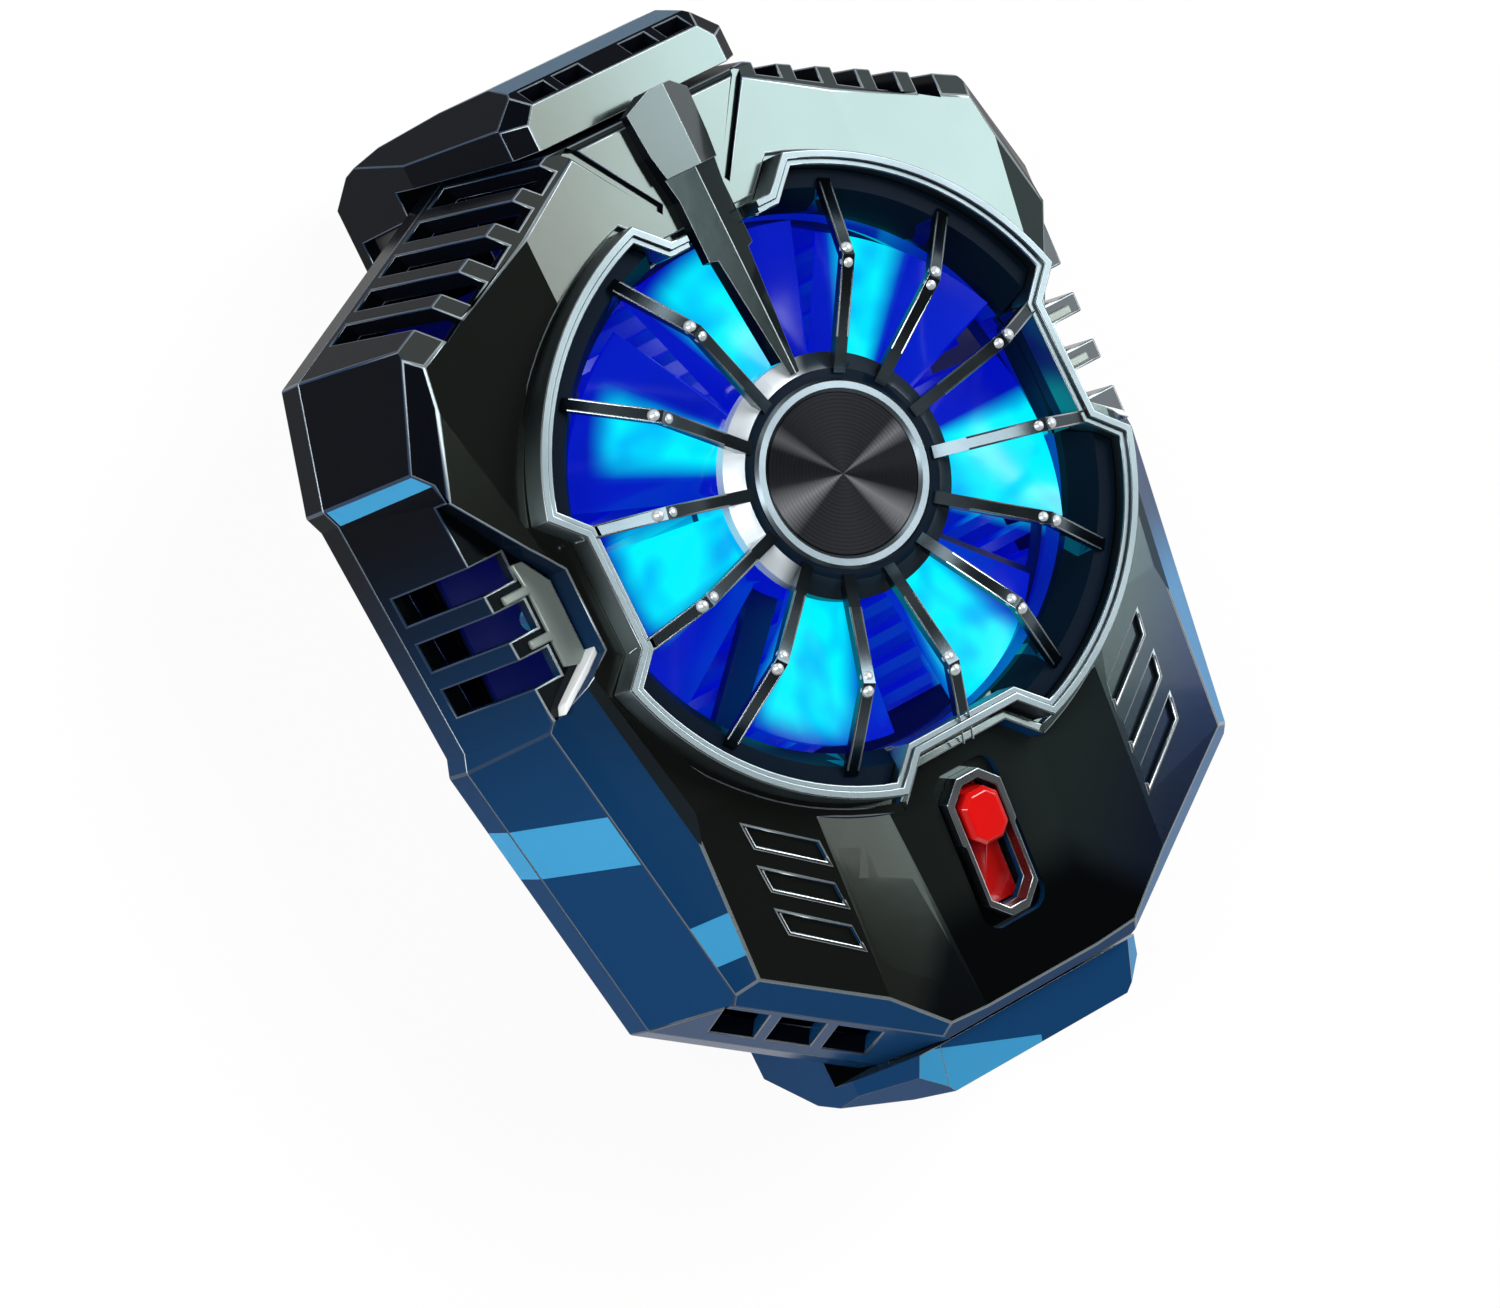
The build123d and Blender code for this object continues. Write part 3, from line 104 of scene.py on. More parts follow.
# adds one node with its settings, its constants and its links
def addNode(tree, kind, links=None, constants=None, **settings):
    node = tree.nodes.new(kind)
    for key, value in settings.items():
        setattr(node, key, value)
    for key, value in (constants or {}).items():
        node.inputs[key].default_value = value
    for key, source in (links or {}).items():
        tree.links.new(source, node.inputs[key])
    return node


# A finish starts from the real material's look, in plain sizes:
#   colour and shade, mottled in patches of patch mm; rough, from and to;
#   grain mm across and grainDepth mm deep; stretch, the patterns' scale along x, y and z;
#   metal; coat; sockets go on the shader as they are
def makeFinish(name, look):
    material = bpy.data.materials.new(name)
    material.use_nodes = True
    tree = material.node_tree
    shader = tree.nodes["Principled BSDF"]
    spot = addNode(tree, "ShaderNodeTexCoord").outputs["Object"]
    stretch = look.get("stretch", (1, 1, 1))
    laid = addNode(tree, "ShaderNodeMapping", {"Vector": spot}, {"Scale": stretch}).outputs[0]
    patches = addNode(tree, "ShaderNodeTexNoise", {"Vector": laid},
                      {"Scale": 1000 / look["patch"], "Detail": 5.0})
    grain = addNode(tree, "ShaderNodeTexNoise", {"Vector": laid},
                    {"Scale": 1000 / look["grain"], "Detail": 3.0})
    colour = addNode(tree, "ShaderNodeMix", {0: patches.outputs["Fac"]},
                     {6: toLinear(look["colour"]), 7: toLinear(look["shade"])}, data_type="RGBA")
    low, high = look["rough"]
    rough = addNode(tree, "ShaderNodeMapRange", {"Value": patches.outputs["Fac"]},
                    {"From Min": 0.3, "From Max": 0.7, "To Min": low, "To Max": high})
    bump = addNode(tree, "ShaderNodeBump", {"Height": grain.outputs["Fac"]},
                   {"Strength": 1.0, "Distance": look["grainDepth"] / 1000})
    tree.links.new(colour.outputs[2], shader.inputs["Base Color"])
    tree.links.new(rough.outputs[0], shader.inputs["Roughness"])
    tree.links.new(bump.outputs[0], shader.inputs["Normal"])
    shader.inputs["Metallic"].default_value = look.get("metal", 0.0)
    shader.inputs["Coat Weight"].default_value = look.get("coat", 0.0)
    shader.inputs["Coat Roughness"].default_value = look.get("coatRough", 0.05)
    for key, value in look.get("sockets", {}).items():
        shader.inputs[key].default_value = value
    return material, tree, shader, colour.outputs[2]


# what tones go by: x, y, z and lengths along slanting directions, which a tone gives in
# millimetres, and the three parts of the surface's own direction
def readMeasures(tree, slopes):
    spot = addNode(tree, "ShaderNodeTexCoord")
    place = addNode(tree, "ShaderNodeSeparateXYZ", {0: spot.outputs["Object"]})
    facing = addNode(tree, "ShaderNodeSeparateXYZ", {0: spot.outputs["Normal"]})
    measures = {axis.lower(): (place.outputs[axis], 1000) for axis in "XYZ"}
    measures.update({"facing" + axis: (facing.outputs[axis], 1) for axis in "XYZ"})
    for name, way in slopes.items():
        along = addNode(tree, "ShaderNodeVectorMath", {0: spot.outputs["Object"]}, {1: way},
                        operation="DOT_PRODUCT")
        measures[name] = (along.outputs["Value"], 1000)
    return measures


# lays tones over a colour: a tone is full where each of its measures has gone from its first
# number to its second, and a hard edge is two numbers that are close together
def layTones(tree, colour, measures, tones):
    for tone in tones:
        where = None
        for measure, start, end in tone["where"]:
            value, unit = measures[measure]
            rise = addNode(tree, "ShaderNodeMapRange", {"Value": value},
                           {"From Min": start / unit, "From Max": end / unit},
                           interpolation_type="SMOOTHSTEP").outputs[0]
            where = rise if where is None else addNode(
                tree, "ShaderNodeMath", {0: where, 1: rise}, operation="MULTIPLY").outputs[0]
        links, constants = {0: where}, {7: toLinear(tone["colour"])}
        (constants if isinstance(colour, tuple) else links)[6] = colour
        colour = addNode(tree, "ShaderNodeMix", links, constants, data_type="RGBA",
                         blend_type=tone.get("blend", "MIX")).outputs[2]
    return colour


# a finish with its look's tones laid over its colour
def makeToned(name, look):
    material, tree, shader, base = makeFinish(name, look)
    toned = layTones(tree, base, readMeasures(tree, look.get("slopes", {})), look["tones"])
    tree.links.new(toned, shader.inputs["Base Color"])
    return material


# which edges of a mesh stand out: convex ones between two flats, by their turn and their length
def sharpEdges(mesh, least, most, shortest):
    count = len(mesh.loops)
    vertex = np.empty(count, np.int64)
    mesh.loops.foreach_get("vertex_index", vertex)
    edge = np.empty(count, np.int64)
    mesh.loops.foreach_get("edge_index", edge)
    faces = len(mesh.polygons)
    start = np.empty(faces, np.int64)
    mesh.polygons.foreach_get("loop_start", start)
    total = np.empty(faces, np.int64)
    mesh.polygons.foreach_get("loop_total", total)
    normal = np.empty(faces * 3)
    mesh.polygons.foreach_get("normal", normal)
    normal = normal.reshape(-1, 3)
    place = np.empty(len(mesh.vertices) * 3)
    mesh.vertices.foreach_get("co", place)
    place = place.reshape(-1, 3)
    follow = np.arange(count) + 1
    follow[start + total - 1] = start
    along = place[vertex[follow]] - place[vertex]
    face = np.repeat(np.arange(faces), total)
    # the two loops of each edge that has two, found by sorting the loops by edge
    order = np.argsort(edge, kind="stable")
    uses = np.bincount(edge, minlength=len(mesh.edges))
    first = np.concatenate([[0], np.cumsum(uses)[:-1]])
    both = uses == 2
    a = order[first[both]]
    b = order[first[both] + 1]
    turn = np.degrees(np.arccos(np.clip((normal[face[a]] * normal[face[b]]).sum(1), -1, 1)))
    outward = (np.cross(normal[face[a]], normal[face[b]]) * along[a]).sum(1) > 0
    length = np.linalg.norm(along[a], axis=1)
    keep = np.zeros(len(mesh.edges))
    keep[both] = (turn > least) & (turn < most) & outward & (length > shortest)
    return keep


# How a copy of a CAD node is dressed where its own edge settings don't say otherwise, in
# millimetres and degrees: edges that turn from least to most are rounded, width wide
dressing = {"weld": 0.002, "flat": 0.5, "smooth": 28, "width": 0.0, "least": 24, "most": 160,
            "shortest": 0.6, "segments": 2, "clamp": True, "material": -1}


# a copy of a CAD node, welded, with its standing edges rounded, that takes the node's place
def dressNode(name, finishes, edge):
    edge = {**dressing, **edge}
    node = frame["nodes"][name]
    mesh = node.data.copy()
    shape = bmesh.new()
    shape.from_mesh(mesh)
    bmesh.ops.remove_doubles(shape, verts=shape.verts, dist=edge["weld"] / 1000)
    bmesh.ops.dissolve_limit(shape, angle_limit=math.radians(edge["flat"]),
                             verts=shape.verts, edges=shape.edges)
    shape.to_mesh(mesh)
    shape.free()
    mesh.shade_smooth()
    mesh.set_sharp_from_angle(angle=math.radians(edge["smooth"]))
    mesh.materials.clear()
    for finish in finishes:
        mesh.materials.append(finish)
    piece = bpy.data.objects.new(name + "_dressed", mesh)
    bpy.context.scene.collection.objects.link(piece)
    if edge["width"] > 0:
        weight = mesh.attributes.new("bevel_weight_edge", "FLOAT", "EDGE")
        keep = sharpEdges(mesh, edge["least"], edge["most"], edge["shortest"] / 1000)
        weight.data.foreach_set("value", keep)
        bevel = piece.modifiers.new("roundedEdges", "BEVEL")
        bevel.width = edge["width"] / 1000
        bevel.segments = edge["segments"]
        bevel.limit_method = "WEIGHT"
        bevel.use_clamp_overlap = edge["clamp"]
        bevel.harden_normals = True
        bevel.material = edge["material"]
    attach(piece, node["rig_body"])
    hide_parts(name)
    return piece


# a new piece from points, in millimetres, and faces; edges that turn by more than sharp degrees
# stay sharp
def addPiece(name, points, faces, finish, sharp=40):
    mesh = bpy.data.meshes.new(name)
    mesh.from_pydata((points / 1000).tolist(), [], faces)
    shape = bmesh.new()
    shape.from_mesh(mesh)
    bmesh.ops.recalc_face_normals(shape, faces=shape.faces)
    shape.to_mesh(mesh)
    shape.free()
    mesh.shade_smooth()
    mesh.set_sharp_from_angle(angle=math.radians(sharp))
    mesh.materials.append(finish)
    piece = bpy.data.objects.new(name, mesh)
    bpy.context.scene.collection.objects.link(piece)
    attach(piece, "body")
    return piece


# ABS casing, injection moulded and sprayed with gunmetal lacquer under a clear coat: it shows
# sharp softbox reflections. Its colour holds painted light and shade: painted dark sides, a painted
# navy light towards the foot, and ice blue bands of painted reflection on its left side.
# A surface whose facingZ is the first number of sideFacing or more has the front's colours, and
# one whose facingZ is the second or less has the sides' painted dark colour
# painted blue light, navy, on the lower sides of casing and clamps
paintedBlueLight = "#0f3a64"
# ice blue is painted reflection of the softboxes
paintedReflectionBlue = "#3f97c8"
casing = {
    "colour": "#4d5c5b", "shade": "#445150", "patch": 26, "rough": (0.12, 0.18),
    "grain": 1.4, "grainDepth": 0.003, "metal": 0.85, "coat": 0.3, "coatRough": 0.04,
    "sockets": {"Specular IOR Level": 0.01},
    # side, the sides' colour, is painted shade: darker than the front where a surface faces sideways
    "side": "#080b11", "sideFacing": (0.92, 0.62),
    "slopes": {"corner": (1, -0.8, 0), "reflectionLine": (0, 1, 0.11), "reflectionSlant": (0.3587, 1, 0)},
    "paintedFrontShade": [
        # painted shade: darker and warmer at the left, a dusky blue in the right foot corner, dark on
        # the low ledges
        {"colour": "#c0b2a9", "blend": "MULTIPLY", "where": [("x", 12, -14)]},
        {"colour": "#2c3a58", "where": [("corner", 26, 42)]},
        {"colour": "#161b1e", "where": [("z", 31.2, 30.4)]},
    ],
    "paintedSideLight": [
        # painted navy light towards the foot, a painted reflection under it and a painted highlight
        # along the right foot edge
        {"colour": paintedBlueLight, "where": [("y", 16, -14)]},
        {"colour": "#17426f", "where": [("facingY", -0.35, -0.7), ("y", -18, -24)]},
        {"colour": "#3a82b4", "where": [("facingX", 0.4, 0.6), ("y", -8, -16),
                                        ("facingZ", 0.3, 0.5)]},
    ],
    "paintedReflections": [
        # painted reflections: across the side wall, across the bevel above it, and on the small facet
        # at the waist
        {"colour": paintedReflectionBlue, "where": [("x", 0, -0.01), ("facingZ", 0.4, 0.399),
                                      ("reflectionLine", -11.542, -11.532), ("reflectionLine", -7.242, -7.252)]},
        {"colour": paintedReflectionBlue, "where": [("x", 0, -0.01), ("y", -24.2, -24.19), ("y", -20.7, -20.71),
                                      ("facingZ", 0.55, 0.551), ("facingZ", 0.75, 0.749)]},
        {"colour": paintedReflectionBlue, "where": [("x", 0, -0.01), ("z", 17.2, 17.21), ("facingX", -0.85, -0.851),
                                      ("facingY", -0.42, -0.419), ("facingY", -0.32, -0.321)]},
    ],
    "edge": {"width": 0.15, "material": 1, "smooth": 4, "clamp": False, "shortest": 0.9},
}


# the front's painted shade and the sides' painted light, mixed by how far a surface faces up, with
# painted reflections over both
def makeLacquer(name, look):
    material, tree, shader, base = makeFinish(name, look)
    measures = readMeasures(tree, look["slopes"])
    start, end = look["sideFacing"]
    side = addNode(tree, "ShaderNodeMapRange", {"Value": measures["facingZ"][0]},
                   {"From Min": start, "From Max": end}).outputs[0]
    front = layTones(tree, base, measures, look["paintedFrontShade"])
    sides = layTones(tree, toLinear(look["side"]), measures, look["paintedSideLight"])
    painted = addNode(tree, "ShaderNodeMix", {0: side, 6: front, 7: sides},
                      data_type="RGBA").outputs[2]
    withPaintedReflections = layTones(tree, painted, measures, look["paintedReflections"])
    tree.links.new(withPaintedReflections, shader.inputs["Base Color"])
    # the sides show neither metal flakes nor a clear coat
    for key, socket in (("metal", "Metallic"), ("coat", "Coat Weight")):
        share = addNode(tree, "ShaderNodeMapRange", {"Value": side},
                        {"To Min": look[key], "To Max": 0.0})
        tree.links.new(share.outputs[0], shader.inputs[socket])
    return material


# painted highlight on the rounded edges: bright at the front, a painted navy light round the sides
edgeHighlight = {
    "colour": "#98a2a6", "shade": "#7d878c", "patch": 6, "rough": (0.22, 0.34),
    "grain": 0.6, "grainDepth": 0.004, "metal": 0.6, "sockets": {"Specular IOR Level": 0.1},
    "tones": [{"colour": "#1c3450", "where": [("facingZ", 0.75, 0.35)]}],
}
lacquer = makeLacquer("gunmetalLacqueredAbs", casing)
paintedEdgeHighlight = makeToned("wornLacquerEdge", edgeHighlight)
dressNode("front_cover", [lacquer, paintedEdgeHighlight], casing["edge"])
dressNode("rear_cover", [lacquer, paintedEdgeHighlight], casing["edge"])
print("casing made")

# Zinc trim, die-cast and satin plated in a smoky chrome, soft blue-grey; its rounded edges take a
# paler chrome, a painted highlight that draws one thin white line along its inner edge
trim = {
    "colour": "#6f7c80", "shade": "#606d72", "patch": 9, "rough": (0.3, 0.4),
    "grain": 0.35, "grainDepth": 0.003, "metal": 1.0,
    "edge": {"width": 0.12, "material": 1, "smooth": 20, "shortest": 0.8},
}
smokeChrome = makeFinish("smokeChromedZinc", trim)[0]
satinChrome = makeFinish("satinChromedAbs", {
    "colour": "#8f979a", "shade": "#787f83", "patch": 9, "rough": (0.24, 0.34),
    "grain": 0.35, "grainDepth": 0.003, "metal": 1.0})[0]
# a pale chrome whose colour is a painted highlight, for the bright edge lines
highlightChrome = makeFinish("polishedChromeEdge", {
    "colour": "#c4ccd0", "shade": "#aab3b8", "patch": 5, "rough": (0.2, 0.3),
    "grain": 0.5, "grainDepth": 0.002, "metal": 1.0})[0]
dressNode("trim_ring", [smokeChrome, satinChrome], trim["edge"])

# Blade: the casing's lacquer with its painted light and shade, a little darker and glossier, and
# the sides' painted dark colour only where it is steep
blade = dict(casing, colour="#414e50", shade="#394648", rough=(0.1, 0.14), sideFacing=(0.5, 0.2),
             edge={"width": 0.08, "material": 1, "least": 18, "smooth": 4})
dressNode("center_blade", [makeLacquer("gunmetalLacqueredBlade", blade), paintedEdgeHighlight],
          blade["edge"])

# Ring round the badge: satin chromed, darker than the trim
ring = {"colour": "#6c787e", "shade": "#5c686e", "patch": 5, "rough": (0.28, 0.36),
        "grain": 0.4, "grainDepth": 0.003, "metal": 1.0}
dressNode("hub_ring", [makeFinish("satinChromedRing", ring)[0]], {})
print("trim made")

# Guard: black moulded ABS with chromed spokes, and a collar that is pale on its upper left, where aim
# points, a painted highlight, and dark on the rest, painted shade. The colour changes 5 to 3 mm along
# aim from the fan's axis, which lies half of fanY along it
guard = {
    "bore": {"colour": "#0a1826", "shade": "#08131f", "patch": 14, "rough": (0.3, 0.42),
             "grain": 0.7, "grainDepth": 0.004, "sockets": {"Specular IOR Level": 0.02}},
    "spoke": {"colour": "#5a666c", "shade": "#4a565c", "patch": 9, "rough": (0.2, 0.3),
              "grain": 0.35, "grainDepth": 0.003, "metal": 1.0},
    "collar": {"colour": "#e6eef2", "shade": "#d4dee4", "patch": 6, "rough": (0.32, 0.38),
               "grain": 0.5, "grainDepth": 0.003, "metal": 0.3, "slopes": {"aim": (-0.866, 0.5, 0)},
               "tones": [{"colour": "#15242f", "where": [("aim", 5 + fanY / 2, 3 + fanY / 2)]}]},
    "spokeHalf": 0.62, "spokeFrom": 9.6, "spokeAbove": 31.6,
    "collarReach": 12.2, "collarFacing": 0.99,
}
boreAbs = makeFinish("glossBlackMouldedAbs", guard["bore"])[0]
collarLightAndShade = makeToned("satinCollarPaintedLight", guard["collar"])
spokeChrome = makeFinish("smokeChromedSpoke", guard["spoke"])[0]
guardPiece = dressNode("fan_guard", [boreAbs, spokeChrome, collarLightAndShade], {})


# gives the guard's faces their finish: 1 for spokes, by their distance from the nearest spoke
# line, 2 for the collar's cone, by its radius and turn, and 0 for the rest
def markGuard(mesh):
    count = len(mesh.polygons)
    centre = np.empty(count * 3)
    mesh.polygons.foreach_get("center", centre)
    normal = np.empty(count * 3)
    mesh.polygons.foreach_get("normal", normal)
    x, y, z = centre.reshape(-1, 3).T * 1000
    y = y - fanY
    r = np.hypot(x, y)
    pitch = 2 * np.pi / places
    turn = np.arctan2(y, x) - np.pi / 2
    off = np.abs(turn - np.round(turn / pitch) * pitch) * r
    spoke = (off < guard["spokeHalf"]) & (r > guard["spokeFrom"]) & (z > guard["spokeAbove"])
    collar = (r < guard["collarReach"]) & ~spoke & (normal[2::3] < guard["collarFacing"])
    finish = np.where(collar, 2, np.where(spoke, 1, 0)).astype(np.int32)
    mesh.polygons.foreach_set("material_index", finish)


markGuard(guardPiece.data)
print("guard made")


# colours laid round an axis, by the angle that x and y make: start fills the circle first, and
# then each stop is (degrees, colour)
def layAround(tree, x, y, start, stops):
    turn = addNode(tree, "ShaderNodeMath", {0: y, 1: x}, operation="ARCTAN2")
    share = addNode(tree, "ShaderNodeMath", {0: turn.outputs[0]}, {1: 2 * math.pi},
                    operation="DIVIDE")
    whole = addNode(tree, "ShaderNodeMath", {0: share.outputs[0]}, {1: 1.0},
                    operation="FLOORED_MODULO")
    ramp = addNode(tree, "ShaderNodeValToRGB", {0: whole.outputs[0]})
    elements = ramp.color_ramp.elements
    for element in elements:
        element.color = start
    for angle, colour in stops:
        elements.new(min(angle / 360, 0.999)).color = colour  # a stop past 360 stays on the ramp
    return ramp.outputs[0]


# Hub badge: aluminium, turned with fine grooves and black anodised; the grooves throw light in
# fans, and painted highlights make it paler in cones, each from one angle to another, by a share of
# pale
badge = {
    "colour": "#121315", "shade": "#1a1b1e", "patch": 5, "rough": (0.36, 0.4), "pale": "#5c5d60",
    "cones": [(0, 20, 0.6), (118, 137, 0.5), (165, 205, 0.8), (285, 322, 1.0)],
    "grain": 0.4, "grainDepth": 0.001, "metal": 1.0, "sockets": {"Anisotropic": 0.95},
    "radius": 6.2, "inner": 0.05, "rim": 0.1, "top": 36.55, "foot": 35.35,
    "pitch": 0.3, "depth": 0.009, "steps": 6, "sectors": 160,
}


def makeBadgeFinish():
    finish, tree, shader, base = makeFinish("turnedAnodisedAluminium", badge)
    spot = addNode(tree, "ShaderNodeTexCoord").outputs["Object"]
    centred = addNode(tree, "ShaderNodeVectorMath", {0: spot}, {1: (0, -fanY / 1000, 0)})
    flat = addNode(tree, "ShaderNodeVectorMath", {0: centred.outputs[0]}, {1: (1, 1, 0)},
                   operation="MULTIPLY").outputs[0]
    # the grooves scatter light outwards, so the tangent is the radius
    tree.links.new(flat, shader.inputs["Tangent"])
    parts = addNode(tree, "ShaderNodeSeparateXYZ", {0: flat})
    stops = [(angle, (share, share, share, 1)) for low, high, most in badge["cones"]
             for angle, share in ((low, 0), ((low + high) / 2, most), (high, 0))]
    cones = layAround(tree, parts.outputs["X"], parts.outputs["Y"], (0, 0, 0, 1), stops)
    colour = addNode(tree, "ShaderNodeMix", {0: cones, 6: base}, {7: toLinear(badge["pale"])},
                     data_type="RGBA")
    tree.links.new(colour.outputs[2], shader.inputs["Base Color"])
    return finish


# a turned disc: z = top - depth (1 - cos(2 pi r / pitch)) / 2 from inner to rim, then a wall down
def makeBadge():
    n = badge["sectors"]
    r = np.arange(badge["inner"], badge["radius"] - badge["rim"], badge["pitch"] / badge["steps"])
    z = badge["top"] - badge["depth"] * (1 - np.cos(2 * np.pi * r / badge["pitch"])) / 2
    r = np.concatenate([r, [badge["radius"], badge["radius"]]])
    z = np.concatenate([z, [badge["top"] - badge["rim"], badge["foot"]]])
    u = np.linspace(0, 2 * np.pi, n, endpoint=False)
    points = np.stack([np.outer(r, np.cos(u)), np.outer(r, np.sin(u)) + fanY,
                       np.outer(z, np.ones(n))], -1).reshape(-1, 3)
    i, j = np.meshgrid(np.arange(len(r) - 1), np.arange(n), indexing="ij")
    k = (j + 1) % n
    quads = np.stack([i * n + j, (i + 1) * n + j, (i + 1) * n + k, i * n + k], -1)
    ends = [list(range(n)), list(range((len(r) - 1) * n, len(r) * n))]
    faces = quads.reshape(-1, 4).tolist() + ends
    piece = addPiece("turned_badge", points, faces, makeBadgeFinish(), sharp=60)
    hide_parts("hub_cap")


makeBadge()
print("badge made")

# Light in the fan: a painted glow in the clear blades and the parts behind them, which stands in for
# the LEDs' light and the blades' reflections, cyan in some sectors and deep blue between them.
# Sectors are in degrees round the fan's axis, drawn at the trim's height and slanted by lean
# below it; the light ends in deep blue from one outer radius to the other, and it is patchy
glow = {
    "cyan": "#00f4ff", "deep": "#0209b4", "middle": "#6090e8",
    "sectors": [(47, 64), (92, 114), (137, 154), (167, 193), (219, 244), (270, 295), (322, 358)],
    "fade": 4.5, "lean": (0.4526, -0.0813), "outer": (18.5, 21.2),
    "patchScale": 260.0, "patchFrom": 0.45, "patchTo": 0.75, "patchShare": 0.7,
}


# colour of the light at a point, from its angle and radius about the fan's axis
def lightPattern(tree):
    spot = addNode(tree, "ShaderNodeTexCoord").outputs["Object"]
    centred = addNode(tree, "ShaderNodeVectorMath", {0: spot},
                      {1: (0, -fanY / 1000, -trimTop / 1000)}).outputs[0]
    leanX, leanY = glow["lean"]
    x, y = [addNode(tree, "ShaderNodeVectorMath", {0: centred}, {1: way},
                    operation="DOT_PRODUCT").outputs["Value"]
            for way in ((1, 0, leanX), (0, 1, leanY))]
    fade, deep, cyan = glow["fade"], toLinear(glow["deep"]), toLinear(glow["cyan"])
    stops = [stop for low, high in glow["sectors"] for stop in (
        (low - fade / 2, deep), (low + fade, cyan), (high - fade, cyan), (high + fade / 2, deep))]
    colour = layAround(tree, x, y, deep, stops)
    near = addNode(tree, "ShaderNodeCombineXYZ", {0: x, 1: y})
    radius = addNode(tree, "ShaderNodeVectorMath", {0: near.outputs[0]}, operation="LENGTH")
    colour = layTones(tree, colour, {"radius": (radius.outputs["Value"], 1000)},
                      [{"colour": glow["deep"], "where": [("radius", *glow["outer"])]}])
    cloud = addNode(tree, "ShaderNodeTexNoise", {"Vector": spot},
                    {"Scale": glow["patchScale"], "Detail": 1.0})
    patchy = addNode(tree, "ShaderNodeMapRange", {"Value": cloud.outputs["Fac"]},
                     {"From Min": glow["patchFrom"], "From Max": glow["patchTo"],
                      "To Max": glow["patchShare"]})
    return addNode(tree, "ShaderNodeMix", {0: patchy.outputs[0], 6: colour},
                   {7: toLinear(glow["middle"])}, data_type="RGBA", blend_type="MULTIPLY").outputs[2]


# a finish with light coming out of it: one plain colour where its look names one, or the pattern
def makeLit(name, look):
    material, tree, shader = makeFinish(name, look)[:3]
    if "light" in look:
        shader.inputs["Emission Color"].default_value = toLinear(look["light"])
    else:
        tree.links.new(lightPattern(tree), shader.inputs["Emission Color"])
    shader.inputs["Emission Strength"].default_value = look["strength"]
    return material


# Blades: clear blue polycarbonate, moulded and polished, glowing with the painted fan light
blades = {"colour": "#06206a", "shade": "#041648", "patch": 8, "rough": (0.12, 0.2),
          "grain": 1.1, "grainDepth": 0.003, "sockets": {"Specular IOR Level": 0.25}, "strength": 1.0}
dressNode("impeller", [makeLit("polishedPolycarbonateBlade", blades)], {})
print("fan made")

